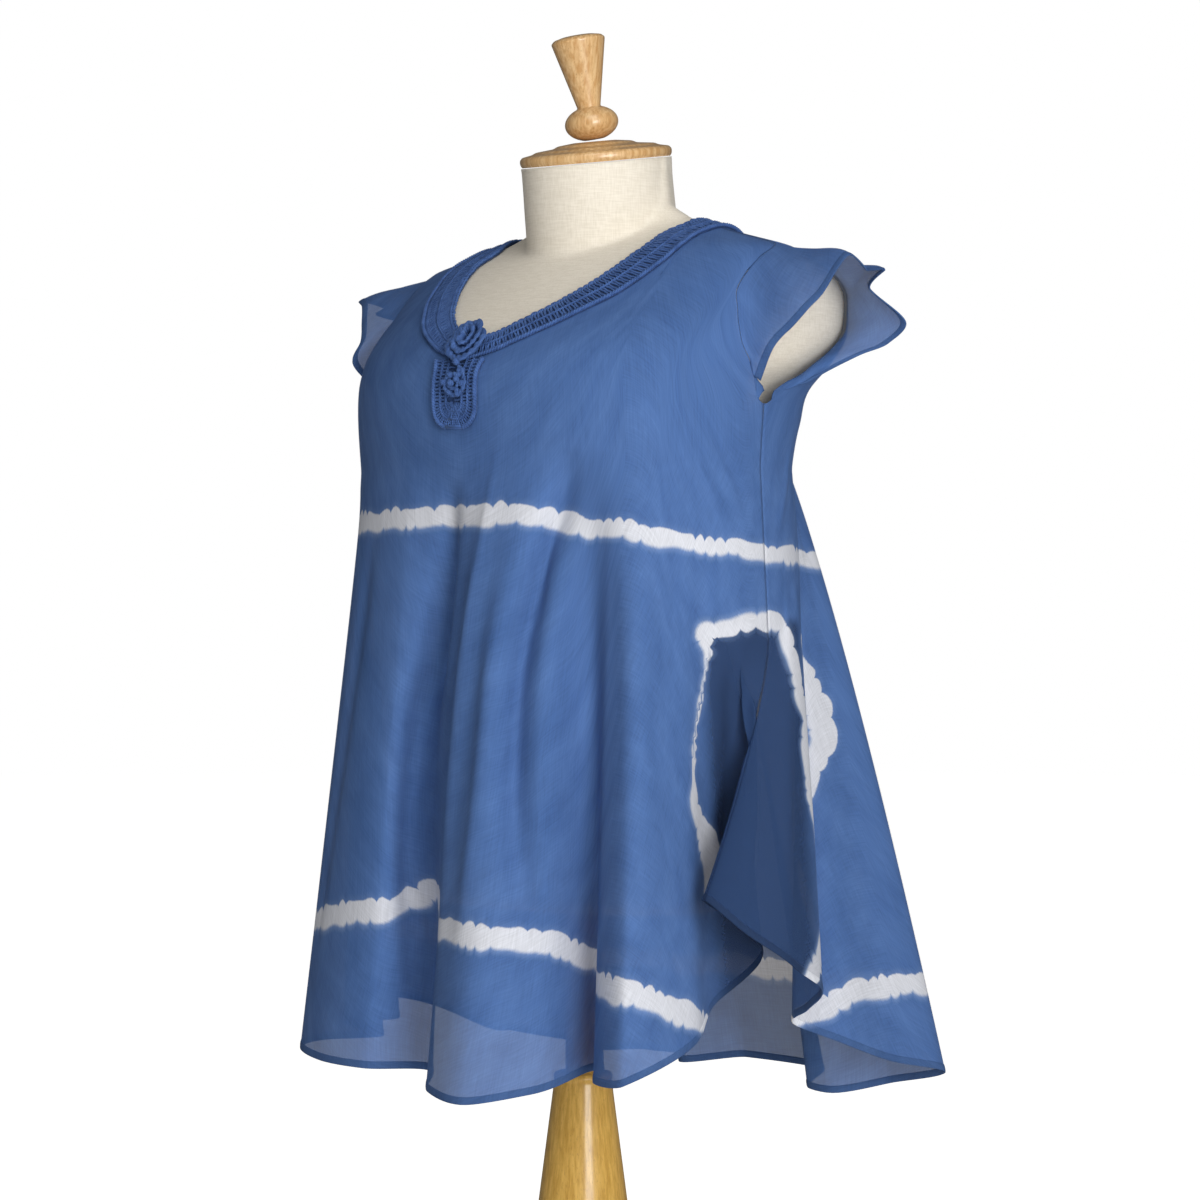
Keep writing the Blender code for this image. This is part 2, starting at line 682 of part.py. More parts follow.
def neck_edge(made):
    """The panels' top edge round the neck, each half from the centre front to the centre back, and
    the place of each point: its thread, run on over the shoulder without a break."""
    (front, front_points, _), (back, back_points, _) = made
    a, b = SHOULDER_THREADS[0], BACK_SHOULDER_THREADS[0]
    edges = []
    for hand in (1, -1):
        side = [k for k in range(len(front)) if -1e-6 <= front[k] * hand <= a + 1e-6]
        rear = [k for k in range(len(back)) if b - 1e-6 <= 180 + (back[k] - 180) * hand <= 180 + 1e-6]
        if hand < 0:
            side, rear = side[::-1], rear[::-1]
        points = [front_points[0, k] for k in side] + [back_points[0, k] for k in rear]
        place = [abs(front[k]) for k in side] + [a + 180 - b - abs(back[k] - 180) for k in rear]
        edges.append((np.array(points), np.array(place)))
    return edges


def build_neck_band(parent, crochet, made):
    """The crochet band from its picot edge to the panels, its stitches raised over a plain inside."""
    rows = 4
    front = np.array([(o[0], *r[1:], *o[1:]) for r, o in zip(FRONT_NECKLINE, FRONT_TOP)])
    back = np.array([(o[0], *r[1:], *o[1:]) for r, o in zip(BACK_NECKLINE, BACK_TOP)])[::-1].copy()
    back[:, 0] += SHOULDER_THREADS[0] - BACK_SHOULDER_THREADS[0]
    half = np.concatenate([front[:-1], back])
    grids, normals = [], []
    for hand, (points, place) in zip((1, -1), neck_edge(made)):
        share = (np.arange(BAND_STITCHES) + (0 if hand > 0 else 1)) / BAND_STITCHES
        edge, at = polyline_at(points, place, share)
        inner_share, inner_z, outer_share, outer_z = [smooth(at, half[:, 0], half[:, k]) for k in range(1, 5)]
        inner_x, outer_x = across_at(inner_share, inner_z), across_at(outer_share, outer_z)
        behind = at > SHOULDER_THREADS[0]
        grid, normal = [], []
        for s in np.linspace(0, 1, rows):
            x, z = inner_x + (outer_x - inner_x) * s, inner_z + (outer_z - inner_z) * s
            angle = np.where(behind, angle_at(hand * x, z, True), angle_at(hand * x, z, False))
            grid.append(body_point(angle, z))
            normal.append(body_normal(angle, z))
        grid = np.array(grid)
        grid += (edge - grid[-1])[None] * (np.linspace(0, 1, rows) ** 2)[:, None, None]
        grids.append(grid[:, ::hand])
        normals.append(np.array(normal)[:, ::hand])
    grid, normal = np.concatenate(grids, axis=1), np.concatenate(normals, axis=1)
    grid = clear_of_form(grid, normal, BAND_INSIDE, slice(0, -1))
    inward = grid[0] - grid[-1]
    inward /= np.linalg.norm(inward, axis=-1, keepdims=True)
    grid[-1] += inward * SEAM_GAP
    raised = np.zeros(grid.shape[:2])
    raised[0::2, 0::2] = raised[1::2, 1::2] = STITCH_RELIEF
    outer = grid + normal * (BAND_WALL - BAND_INSIDE + raised)[..., None]
    outer[0, 0::2] += inward[0::2] * PICOT
    inner = grid - normal * BAND_INSIDE
    points, faces = shell(outer, inner, closed=True)
    return add_object("neck_band", points, faces, crochet, parent)


def front_spot(x, z, out):
    """A point x from the centre front at a height, moved out from the dress."""
    x, z = np.broadcast_arrays(np.asarray(x, float), np.asarray(z, float))
    angle = angle_at(x, z, False)
    return body_point(angle, z) + body_normal(angle, z) * np.asarray(out)[..., None]


def build_tab(parent, crochet):
    """The crochet tab below the neck point: square above and round below, laid on the panel."""
    columns, rows = 15, 15
    down = np.linspace(0, 1, rows)[:, None]
    across = np.linspace(-1, 1, columns)[None, :]
    low = np.clip((down - 0.60) / 0.40, 0, 0.975)
    x = TAB_CENTRE + TAB_WIDTH / 2 * (1 - low**2.6) ** (1 / 2.6) * across
    x = x + TAB_FLARE * np.clip(1 - down / 0.25, 0, 1) ** 2 * across
    z = FRONT_TOP[0][2] - 2 * SEAM_GAP - TAB_HEIGHT * down + 0 * across
    checker = (np.add.outer(np.arange(rows), np.arange(columns)) % 2) * STITCH_RELIEF
    outer = front_spot(x, z, SEAM_GAP + TAB_WALL + checker)
    inner = front_spot(x, z, np.full(x.shape, SEAM_GAP))
    points, faces = shell(outer, inner)
    return add_object("crochet_tab", points, faces, crochet, parent)


ROSETTES = (
    # name, centre_z, radius across, radius down, height, petals, turns of the spiral
    ("rosette_upper", 0.8700, 0.0185, 0.0165, 0.0100, 5, 1.6),
    ("rosette_lower", 0.8400, 0.0130, 0.0110, 0.0075, 5, 1.0),
)


def build_rosette(row, parent, crochet):
    """A crochet rose: a domed disc whose edge and top are parted into curled petals."""
    name, centre_z, wide, tall, height, petals, turns = row
    sectors, rings = 6 * petals, 5
    base = SEAM_GAP * 2 + TAB_WALL + STITCH_RELIEF + 0.0006
    turn = np.linspace(0, 2 * math.pi, sectors, endpoint=False)
    ring = np.linspace(0.16, 1, rings)
    reach = 1 - 0.13 * (0.5 - 0.5 * np.cos(petals * turn)) ** 2
    x = ring[:, None] * (wide * reach * np.cos(turn))[None, :]
    z = centre_z + ring[:, None] * (tall * reach * np.sin(turn))[None, :]
    swirl = petals * turn[None, :] / 2 - 2 * math.pi * turns * ring[:, None]
    lift = height * (1 - 0.55 * ring[:, None] ** 2) * (0.82 + 0.18 * np.cos(swirl * 2))
    outer = front_spot(x, z, base + lift)
    inner = front_spot(x, z, np.full(x.shape, base))
    points = [*outer.reshape(-1, 3), *inner.reshape(-1, 3)]
    half = rings * sectors
    faces = []
    for r in range(rings - 1):
        for c in range(sectors):
            a, b = r * sectors + c, r * sectors + (c + 1) % sectors
            faces.append((a, a + sectors, b + sectors, b))
            faces.append((half + a, half + b, half + b + sectors, half + a + sectors))
    last = (rings - 1) * sectors
    for c in range(sectors):
        a, b = last + c, last + (c + 1) % sectors
        faces.append((a, half + a, half + b, b))
    faces.append(tuple(range(sectors)))
    faces.append(tuple(half + k for k in reversed(range(sectors))))
    return add_object(name, points, faces, crochet, parent)


def armhole(made, hand):
    """Points and normals of the panels' edge round an armhole, from its front end to its back end."""
    (front, front_points, front_normals), (back, back_points, back_normals) = made
    a, b = SHOULDER_THREADS[1], BACK_SHOULDER_THREADS[1]
    side = [k for k in range(len(front)) if front[k] * hand >= a - 1e-6]
    rear = [k for k in range(len(back)) if (180 - back[k]) * hand >= 180 - b - 1e-6]
    if hand > 0:
        side, rear = side[::-1], rear[::-1]
    points = np.concatenate([front_points[0, side], back_points[0, rear]])
    normals = np.concatenate([front_normals[0, side], back_normals[0, rear]])
    top = len(side)
    start = np.interp(SLEEVE_FRONT_END, points[:top, 2], np.arange(top))
    rear_z = points[top:, 2]
    end = top + np.interp(-SLEEVE_BACK_END, -rear_z, np.arange(len(rear_z)))
    keep = [start] + [float(k) for k in range(len(points)) if start + 0.15 < k < end - 0.15] + [end]
    marks = []
    parts = max(1, round(SLEEVE_COLUMNS / (len(keep) - 1)))
    for low, high in zip(keep, keep[1:]):
        shares = 1 if low == top - 1 else parts
        marks += list(np.linspace(low, high, shares, endpoint=False))
    marks = np.array(marks + [end])
    read = [np.stack([np.interp(marks, np.arange(len(g)), g[:, k]) for k in range(3)], -1) for g in (points, normals)]
    return read[0], read[1] / np.linalg.norm(read[1], axis=-1, keepdims=True)


def sleeve_grid(made, hand, table):
    """Points and normals of a sleeve from the armhole to its free edge."""
    rows = np.array(table)
    start, normal = armhole(made, hand)
    length = np.concatenate([[0], np.cumsum(np.linalg.norm(np.diff(start, axis=0), axis=1))])
    edge = smooth(length / length[-1], rows[:, 0], rows[:, 1:])
    edge[:, 0] *= hand
    run = np.gradient(start, axis=0)
    leave = np.cross(run, normal) * hand
    leave /= np.linalg.norm(leave, axis=-1, keepdims=True)
    span = edge - start
    long = np.linalg.norm(span, axis=-1, keepdims=True)
    arrive = span / long * 0.9 + np.array([0.0, 0.0, -0.35])
    start = start + leave * SEAM_GAP
    grid = []
    for s in np.linspace(0, 1, SLEEVE_ROWS):
        a, b = 2 * s**3 - 3 * s**2 + 1, s**3 - 2 * s**2 + s
        c, d = -2 * s**3 + 3 * s**2, s**3 - s**2
        grid.append(a * start + b * long * leave + c * edge + d * long * arrive)
    grid = np.array(grid)
    normals = surface_normals(grid)
    if np.sum(normals[0] * normal) < 0:
        normals = -normals
    normals[0] = normal
    return clear_of_form(grid, normals, SLEEVE_WALL, slice(1, None)), normals


def build_sleeves(parent, cotton, made):
    for name, hand, table in (("sleeve_left", 1, LEFT_SLEEVE), ("sleeve_right", -1, RIGHT_SLEEVE)):
        grid, normals = sleeve_grid(made, hand, table)
        inner = grid - normals * SLEEVE_WALL
        if hand < 0:
            grid, inner = grid[:, ::-1], inner[:, ::-1]
        points, faces = shell(grid, inner)
        add_object(name, points, faces, cotton, parent)


def lean_matrix(lean, foot):
    """Stands a turned piece at its foot with its axis leaning by (x, y) a metre of height."""
    up = Vector((lean[0], lean[1], 1.0)).normalized()
    turn = Vector((0, 0, 1)).rotation_difference(up).to_matrix().to_4x4()
    return Matrix.Translation(foot) @ turn


def build_cap_and_finial(parent, wood):
    foot = Vector((0.0, NECK_CENTRE_Y, CAP_BASE_Z))
    steps = (
        (0.0165, CAP_HEIGHT),
        (0.0300, CAP_HEIGHT - 0.0016),
        (0.0335, CAP_HEIGHT - 0.0034),
        (0.0480, CAP_HEIGHT - 0.0050),
        (0.0510, CAP_HEIGHT - 0.0066),
        (CAP_RADIUS - 0.0020, CAP_HEIGHT - 0.0082),
        (CAP_RADIUS, CAP_EDGE - 0.0035),
        (CAP_RADIUS, 0.0025),
        (CAP_RADIUS - 0.0015, 0.0),
    )
    cap = turned("neck_cap", steps, (0, 0, 0), wood, parent)
    cap.matrix_world = lean_matrix(CAP_LEAN, foot)
    up = Vector((*CAP_LEAN, 1.0)).normalized()
    seat = foot + up * (CAP_HEIGHT + SEAM_GAP + 0.0004)
    arc = np.linspace(62, -68, 9)
    ball = [
        (BALL_RADIUS * math.cos(math.radians(a)), BALL_HEIGHT / 2 * (1 + math.sin(math.radians(a))))
        for a in arc
    ]
    neck_z = BALL_HEIGHT - 0.0008
    top_z = neck_z + CONE_FINIAL_HEIGHT
    profile = [
        (CONE_FINIAL_TOP * 0.55, top_z + CONE_DOME),
        (CONE_FINIAL_TOP * 0.88, top_z + CONE_DOME * 0.55),
        (CONE_FINIAL_TOP, top_z - 0.0006),
        (CONE_FINIAL_FOOT, neck_z),
    ] + ball
    finial = turned("finial", profile, (0, 0, 0), wood, parent)
    finial.matrix_world = lean_matrix(FINIAL_LEAN, seat)


def build_stand(parent, wood):
    turned(
        "base_disc",
        [
            (BASE_RADIUS - 0.010, BASE_HEIGHT),
            (BASE_RADIUS - 0.004, BASE_HEIGHT - 0.002),
            (BASE_RADIUS, BASE_HEIGHT - 0.008),
            (BASE_RADIUS, 0.004),
            (BASE_RADIUS - 0.003, 0.0),
        ],
        (0, 0, 0),
        wood,
        parent,
    )
    foot = BASE_HEIGHT + SEAM_GAP
    collar = PEDESTAL_TOP - COLLAR_HEIGHT
    turned(
        "pedestal",
        [
            (POLE_RADIUS, FORM_BOTTOM - SEAM_GAP),
            (POLE_RADIUS, PEDESTAL_TOP),
            (COLLAR_RADIUS - 0.002, PEDESTAL_TOP),
            (COLLAR_RADIUS, PEDESTAL_TOP - COLLAR_HEIGHT / 2),
            (CONE_TOP_RADIUS, collar),
            (CONE_FOOT_RADIUS, foot + 0.012),
            (CONE_FOOT_RADIUS + 0.006, foot + 0.006),
            (CONE_FOOT_RADIUS + 0.006, foot),
        ],
        (0, 0, 0),
        wood,
        parent,
    )


def main():
    for old in list(bpy.data.objects):
        bpy.data.objects.remove(old, do_unlink=True)
    cotton = material("blue_cotton_voile", (0.08, 0.16, 0.38), 0.85)
    crochet = material("crochet_cotton", (0.07, 0.13, 0.32), 0.9)
    linen = material("cream_linen", (0.80, 0.75, 0.66), 0.9)
    wood = material("varnished_beech", (0.60, 0.38, 0.16), 0.35)
    root = bpy.data.objects.new("dress_and_form", None)
    bpy.context.scene.collection.objects.link(root)
    build_stand(root, wood)
    build_form(root, linen)
    build_cap_and_finial(root, wood)
    made = panels()
    build_dress(root, cotton, made)
    build_sleeves(root, cotton, made)
    build_neck_band(root, crochet, made)
    build_tab(root, crochet)
    for row in ROSETTES:
        build_rosette(row, root, crochet)


if __name__ == "__main__":
    main()
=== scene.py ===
"""The looks of a cap sleeve dress on a limbless dress form.

Metres, +Z up, the front faces -Y and the wearer's left is +X. Round the body a point is named by
its thread, the angle in degrees from the centre front at the bust, positive to the wearer's left.
"""

import math

import bpy
import numpy as np
from bpy.props import FloatProperty, FloatVectorProperty, PointerProperty
from mathutils import Matrix, Vector
from mathutils.bvhtree import BVHTree
from mathutils.kdtree import KDTree


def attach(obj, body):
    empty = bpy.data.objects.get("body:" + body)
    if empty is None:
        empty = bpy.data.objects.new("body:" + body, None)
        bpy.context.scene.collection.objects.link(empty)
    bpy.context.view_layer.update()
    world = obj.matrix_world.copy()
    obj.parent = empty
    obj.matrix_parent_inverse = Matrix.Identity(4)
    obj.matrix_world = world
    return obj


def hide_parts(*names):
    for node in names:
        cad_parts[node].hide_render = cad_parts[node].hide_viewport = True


bl_info = {
    "name": "Cap sleeve dress on a dress form",
    "version": (1, 0, 0),
    "blender": (4, 5, 0),
    "location": "3D View > Sidebar > Dress",
    "description": "Builds a resist dyed voile dress with crochet trim on a turned wood dress form",
    "category": "Object",
}

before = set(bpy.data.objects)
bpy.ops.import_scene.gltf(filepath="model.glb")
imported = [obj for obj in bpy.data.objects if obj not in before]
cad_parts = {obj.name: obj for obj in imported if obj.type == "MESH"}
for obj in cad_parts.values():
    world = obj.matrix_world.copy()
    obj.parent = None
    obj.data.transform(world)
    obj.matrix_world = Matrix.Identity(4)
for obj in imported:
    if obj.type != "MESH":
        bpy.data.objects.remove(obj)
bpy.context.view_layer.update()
BODY = "root"
MM = 0.001

# ---------------------------------------------------------------- colours


def linear(hex_colour):
    """The linear colour of an sRGB hex value."""
    parts = [int(hex_colour[i : i + 2], 16) / 255 for i in (1, 3, 5)]
    return tuple(c / 12.92 if c <= 0.04045 else ((c + 0.055) / 1.055) ** 2.4 for c in parts)


# ---------------------------------------------------------------- shape of the form and the dress

FORM_FOOT_Z = 0.430

FORM_SECTIONS = (
    # height, half_width, front_y, back_y, side_y, front_square, back_square
    (FORM_FOOT_Z, 0.126, -0.084, 0.080, 0.000, 2.2, 2.2),
    (0.438, 0.146, -0.098, 0.094, 0.000, 2.2, 2.2),
    (0.520, 0.158, -0.106, 0.102, 0.000, 2.2, 2.2),
    (0.620, 0.135, -0.090, 0.082, 0.000, 2.2, 2.2),
    (0.690, 0.120, -0.082, 0.070, 0.000, 2.2, 2.2),
    (0.760, 0.143, -0.112, 0.084, -0.012, 2.2, 2.3),
    (0.810, 0.160, -0.1370, 0.104, -0.010, 2.3, 2.5),
    (0.840, 0.172, -0.1390, 0.113, -0.002, 2.4, 2.8),
    (0.860, 0.187, -0.1330, 0.122, 0.011, 2.4, 3.6),
    (0.884, 0.195, -0.1130, 0.130, 0.021, 2.3, 4.5),
    (0.907, 0.196, -0.0845, 0.131, 0.026, 2.2, 4.5),
    (0.926, 0.194, -0.0600, 0.122, 0.029, 2.2, 4.0),
    (0.940, 0.187, -0.0410, 0.102, 0.030, 2.2, 3.2),
    (0.949, 0.174, -0.0270, 0.083, 0.030, 2.2, 2.6),
    (0.955, 0.152, -0.0160, 0.070, 0.030, 2.2, 2.4),
    (0.961, 0.129, -0.0060, 0.064, 0.030, 2.1, 2.2),
    (0.967, 0.108, 0.0020, 0.062, 0.030, 2.0, 2.0),
    (0.973, 0.089, 0.0080, 0.062, 0.030, 2.0, 2.0),
    (0.979, 0.077, 0.0110, 0.060, 0.030, 2.0, 2.0),
    (0.988, 0.060, 0.0160, 0.054, 0.030, 2.0, 2.0),
)

EASE = (
    # height, side, front, back
    (0.760, 0.0500, 0.0280, 0.0210),
    (0.810, 0.0340, 0.0045, 0.0100),
    (0.840, 0.0210, 0.0030, 0.0100),
    (0.860, 0.0090, 0.0025, 0.0080),
    (0.884, 0.0040, 0.0022, 0.0040),
    (0.907, 0.0025, 0.0020, 0.0022),
    (0.940, 0.0020, 0.0020, 0.0020),
    (0.988, 0.0020, 0.0020, 0.0020),
)

FOLDS = (
    # thread, plan_angle, plan_radius, hem_z, start_z, growth
    (-171.0, -168.0, 0.166, 0.283, 0.76, 1.1),
    (-164.0, -162.0, 0.208, 0.284, 0.76, 1.1),
    (-155.0, -153.0, 0.215, 0.285, 0.76, 1.1),
    (-144.0, -142.0, 0.162, 0.291, 0.76, 1.1),
    (-136.0, -136.0, 0.212, 0.292, 0.76, 1.1),
    (-125.0, -124.0, 0.236, 0.298, 0.76, 1.1),
    (-114.0, -112.0, 0.178, 0.309, 0.76, 1.1),
    (-104.0, -106.0, 0.232, 0.323, 0.76, 1.1),
    (-90.0, -97.0, 0.262, 0.331, 0.76, 1.0),
    (-80.0, -86.0, 0.236, 0.329, 0.76, 1.0),
    (-71.0, -82.0, 0.184, 0.325, 0.76, 1.0),
    (-63.0, -76.0, 0.224, 0.321, 0.76, 1.1),
    (-55.5, -63.0, 0.168, 0.318, 0.76, 1.1),
    (-48.0, -57.0, 0.214, 0.316, 0.78, 1.0),
    (-40.0, -48.0, 0.2262, 0.3144, 0.79, 1.0),
    (-27.0, -34.0, 0.2130, 0.3110, 0.79, 1.0),
    (-16.0, -20.0, 0.1920, 0.3100, 0.79, 1.0),
    (-6.4, -15.0, 0.1440, 0.3070, 0.79, 1.0),
    (6.4, 6.0, 0.2000, 0.3020, 0.79, 1.0),
    (14.0, 18.0, 0.2270, 0.2990, 0.79, 1.0),
    (21.0, 31.0, 0.2080, 0.3060, 0.79, 1.0),
    (33.0, 47.0, 0.1440, 0.3160, 0.79, 1.0),
    (41.6, 44.3, 0.2000, 0.3137, 0.78, 1.0),
    (48.7, 49.0, 0.2460, 0.3180, 0.78, 1.0),
    (58.9, 65.0, 0.2150, 0.3425, 0.74, 1.0),
    (66.9, 78.9, 0.1750, 0.3700, 0.70, 1.1),
    (73.0, 92.0, 0.1780, 0.3950, 0.68, 1.2),
    (82.0, 75.3, 0.2094, 0.4300, 0.66, 1.3),
    (90.0, 63.6, 0.2419, 0.4530, 0.64, 1.3),
    (95.8, 68.6, 0.2682, 0.4300, 0.66, 1.2),
    (101.3, 76.0, 0.2773, 0.4050, 0.68, 1.1),
    (108.6, 86.2, 0.2580, 0.3820, 0.69, 1.0),
    (116.3, 94.9, 0.2156, 0.3600, 0.70, 1.0),
    (122.9, 103.1, 0.1862, 0.3450, 0.72, 1.0),
    (127.6, 107.8, 0.2194, 0.3300, 0.74, 1.0),
    (134.0, 118.0, 0.2474, 0.3120, 0.79, 0.85),
    (142.0, 128.0, 0.2887, 0.2970, 0.80, 0.72),
    (150.2, 138.8, 0.2517, 0.2820, 0.79, 0.85),
    (156.8, 137.8, 0.2008, 0.2750, 0.76, 1.1),
    (160.5, 143.0, 0.1860, 0.2770, 0.76, 1.1),
    (167.0, 155.0, 0.2154, 0.2850, 0.76, 1.1),
    (180.0, 180.0, 0.2066, 0.2860, 0.76, 1.1),
)

FRONT_TOP = (
    # thread, share of the half width, height
    (0.0, 0.000, 0.8580),
    (4.8, 0.120, 0.8635),
    (12.5, 0.265, 0.8755),
    (18.0, 0.359, 0.8855),
    (23.5, 0.443, 0.8975),
    (28.0, 0.512, 0.9085),
    (32.0, 0.569, 0.9229),
    (35.5, 0.622, 0.9370),
    (38.5, 0.679, 0.9480),
    (41.5, 0.820, 0.9570),
    (44.0, 1.000, 0.9635),
    (54.0, 1.000, 0.9500),
    (58.0, 0.939, 0.9356),
    (63.0, 0.906, 0.9140),
    (69.0, 0.931, 0.8951),
    (76.0, 0.965, 0.8722),
    (82.0, 0.987, 0.8568),
    (86.5, 0.997, 0.8424),
    (90.0, 1.000, 0.8240),
)

BACK_TOP = (
    # thread, share of the half width, height
    (180.0, 0.000, 0.9300),
    (168.0, 0.259, 0.9315),
    (156.0, 0.446, 0.9370),
    (147.0, 0.585, 0.9455),
    (141.0, 0.756, 0.9550),
    (136.0, 1.000, 0.9635),
    (126.0, 1.000, 0.9500),
    (122.0, 0.965, 0.9350),
    (117.0, 0.945, 0.9150),
    (111.0, 0.950, 0.8950),
    (104.0, 0.970, 0.8720),
    (98.0, 0.985, 0.8550),
    (94.0, 0.997, 0.8420),
    (90.0, 1.000, 0.8240),
)

FRONT_NECKLINE = (
    # thread, share of the half width, height
    (0.0, 0.000, 0.8755),
    (4.8, 0.078, 0.8775),
    (12.5, 0.181, 0.8880),
    (18.0, 0.259, 0.8985),
    (23.5, 0.318, 0.9090),
    (28.0, 0.368, 0.9190),
    (32.0, 0.418, 0.9310),
    (35.5, 0.471, 0.9430),
    (38.5, 0.542, 0.9520),
    (41.5, 0.698, 0.9610),
    (44.0, 1.000, 0.9705),
)

BACK_NECKLINE = (
    # thread, share of the half width, height
    (180.0, 0.000, 0.9410),
    (168.0, 0.215, 0.9420),
    (156.0, 0.382, 0.9475),
    (147.0, 0.545, 0.9550),
    (141.0, 0.738, 0.9630),
    (136.0, 1.000, 0.9705),
)

LEFT_SLEEVE = (
    # share of the armhole, x, y, z
    (0.00, 0.196, -0.0160, 0.8410),
    (0.08, 0.215, -0.0220, 0.8670),
    (0.16, 0.232, -0.0200, 0.8820),
    (0.24, 0.243, -0.0157, 0.8947),
    (0.31, 0.252, -0.0100, 0.9060),
    (0.38, 0.262, -0.0043, 0.9248),
    (0.45, 0.268, 0.0035, 0.9345),
    (0.52, 0.262, 0.0310, 0.9248),
    (0.58, 0.282, 0.0280, 0.9237),
    (0.65, 0.250, 0.0518, 0.9110),
    (0.75, 0.262, 0.0797, 0.8880),
    (0.83, 0.240, 0.0860, 0.8717),
    (0.89, 0.222, 0.0748, 0.8633),
    (0.95, 0.205, 0.0580, 0.8517),
    (1.00, 0.196, 0.0380, 0.8400),
)

RIGHT_SLEEVE = (
    # share of the armhole, x, y, z
    (0.00, 0.192, -0.0420, 0.8440),
    (0.10, 0.199, -0.0620, 0.8660),
    (0.20, 0.207, -0.0450, 0.8850),
    (0.30, 0.226, -0.0250, 0.9020),
    (0.40, 0.243, -0.0080, 0.9170),
    (0.46, 0.263, 0.0100, 0.9230),
    (0.53, 0.254, 0.0280, 0.9180),
    (0.60, 0.270, 0.0360, 0.9130),
    (0.67, 0.246, 0.0540, 0.9020),
    (0.76, 0.254, 0.0770, 0.8800),
    (0.84, 0.234, 0.0790, 0.8660),
    (0.92, 0.210, 0.0600, 0.8520),
    (1.00, 0.194, 0.0360, 0.8400),
)

SEAM_GAP = 0.0003
SEAM_RADIUS = 0.19
RIGHT_DROP = 0.0065
SKIRT_TOP_Z = 0.775
SKIRT_HEM_Z = 0.30
SKIRT_HEM_SIZE = (0.212, -0.182, 0.188, 0.0, 2.1, 2.1)
UNDERARM_Z = 0.824
SIDE_SEAM = 90.0
FRONT_CORNERS = (44.0, 54.0)
BACK_CORNERS = (136.0, 126.0)
SLEEVE_FRONT_END = 0.845
SLEEVE_BACK_END = 0.838

NECK_CENTRE_Y = 0.016
NECK_RADIUS = 0.0605
NECK_LEAN = -0.12
NECK_BLEND = 0.006
NECK_TOP = 1.0215
CAP_BASE_Z = 1.0236
CAP_HEIGHT = 0.0165
CAP_LEAN = (0.005, -0.136)
FINIAL_LEAN = (-0.084, -0.156)
CAP_RADIUS = 0.0612
BALL_HEIGHT, BALL_RADIUS = 0.0280, 0.0216
CONE_HEIGHT = 0.0540
PIN_RADIUS = 0.0140
COLLAR_TOP_Z, COLLAR_HEIGHT, COLLAR_RADIUS = 0.2950, 0.0065, 0.0240
STEM_FOOT_RADIUS = 0.0615
BASE_HEIGHT, BASE_RADIUS = 0.026, 0.140


def cubic(s):
    """The weights at a share s of a cubic's start, the slope there, its end and the slope there."""
    return 2 * s**3 - 3 * s**2 + 1, s**3 - 2 * s**2 + s, -2 * s**3 + 3 * s**2, s**3 - s**2


def smooth(x, xs, ys):
    """Reads ys at x along a smooth curve through the points that never swings past them."""
    xs, ys = np.asarray(xs, float), np.asarray(ys, float)
    x = np.clip(np.asarray(x, float), xs[0], xs[-1])
    step = np.diff(xs)
    slope = (np.diff(ys, axis=0).T / step).T
    near = np.empty_like(ys)
    near[0], near[-1] = slope[0], slope[-1]
    for i in range(1, len(xs) - 1):
        before, after = slope[i - 1], slope[i]
        mean = (before * step[i] + after * step[i - 1]) / (step[i - 1] + step[i])
        most = 3 * np.minimum(np.abs(before), np.abs(after))
        near[i] = np.where(before * after > 0, np.clip(mean, -most, most), 0.0)
    i = np.clip(np.searchsorted(xs, x, side="right") - 1, 0, len(step) - 1)
    h = step[i]
    s = (x - xs[i]) / h
    if ys.ndim > 1:
        s, h = s[..., None], h[..., None]
    a, b, c, d = cubic(s)
    return a * ys[i] + b * h * near[i] + c * ys[i + 1] + d * h * near[i + 1]


def run_length(points):
    """The length along a line up to each of its points."""
    return np.concatenate([[0], np.cumsum(np.linalg.norm(np.diff(points, axis=0), axis=1))])


def read_along(at, marks, points):
    """Points or directions read at places along a line whose own ones are at the marks."""
    return np.stack([np.interp(at, marks, points[:, k]) for k in range(3)], -1)


def section_point(angle, size):
    """A point of a section that is as wide as its half width and reaches its front and back."""
    half_width, front_y, back_y, side_y, front_square, back_square = size
    turn = np.radians(angle)
    across, along = np.sin(turn), np.cos(turn)
    square = np.where(along >= 0, front_square, back_square)
    depth = np.where(along >= 0, side_y - front_y, back_y - side_y)
    x = half_width * np.sign(across) * np.abs(across) ** (2 / square)
    y = side_y - depth * np.sign(along) * np.abs(along) ** (2 / square)
    return x, y


def settled(points):
    """Lets the wearer's right shoulder down beside the neck."""
    points = np.array(points, float)
    beside = np.clip(-points[..., 0] / 0.10, 0, 1)
    above = np.clip((points[..., 2] - 0.90) / 0.05, 0, 1)
    below_neck = np.clip((1.000 - points[..., 2]) / 0.02, 0, 1)
    points[..., 2] -= RIGHT_DROP * beside * above * below_neck
    return points


def form_size(z):
    """The form's section at a height."""
    rows = np.array(FORM_SECTIONS)
    return np.moveaxis(smooth(z, rows[:, 0], rows[:, 1:]), -1, 0)


def cloth_size(z):
    """The dress's plain body at a height: on the form above, a cone below."""
    z = np.asarray(z, float)
    held = np.maximum(z, SKIRT_TOP_Z)
    size = form_size(held)
    rows = np.array(EASE)
    ease = np.moveaxis(smooth(held, rows[:, 0], rows[:, 1:]), -1, 0)
    size[0] += ease[0]
    size[1] -= ease[1]
    size[2] += ease[2]
    share = np.clip((SKIRT_TOP_Z - z) / (SKIRT_TOP_Z - SKIRT_HEM_Z), 0, None)
    hem = np.array(SKIRT_HEM_SIZE).reshape((6,) + (1,) * z.ndim)
    return size + (hem - size) * share


def body_point(angle, z):
    """The point of the dress's plain body at an angle and a height."""
    x, y = section_point(angle, cloth_size(z))
    return settled(np.stack([x, y, np.broadcast_to(z, x.shape)], -1))


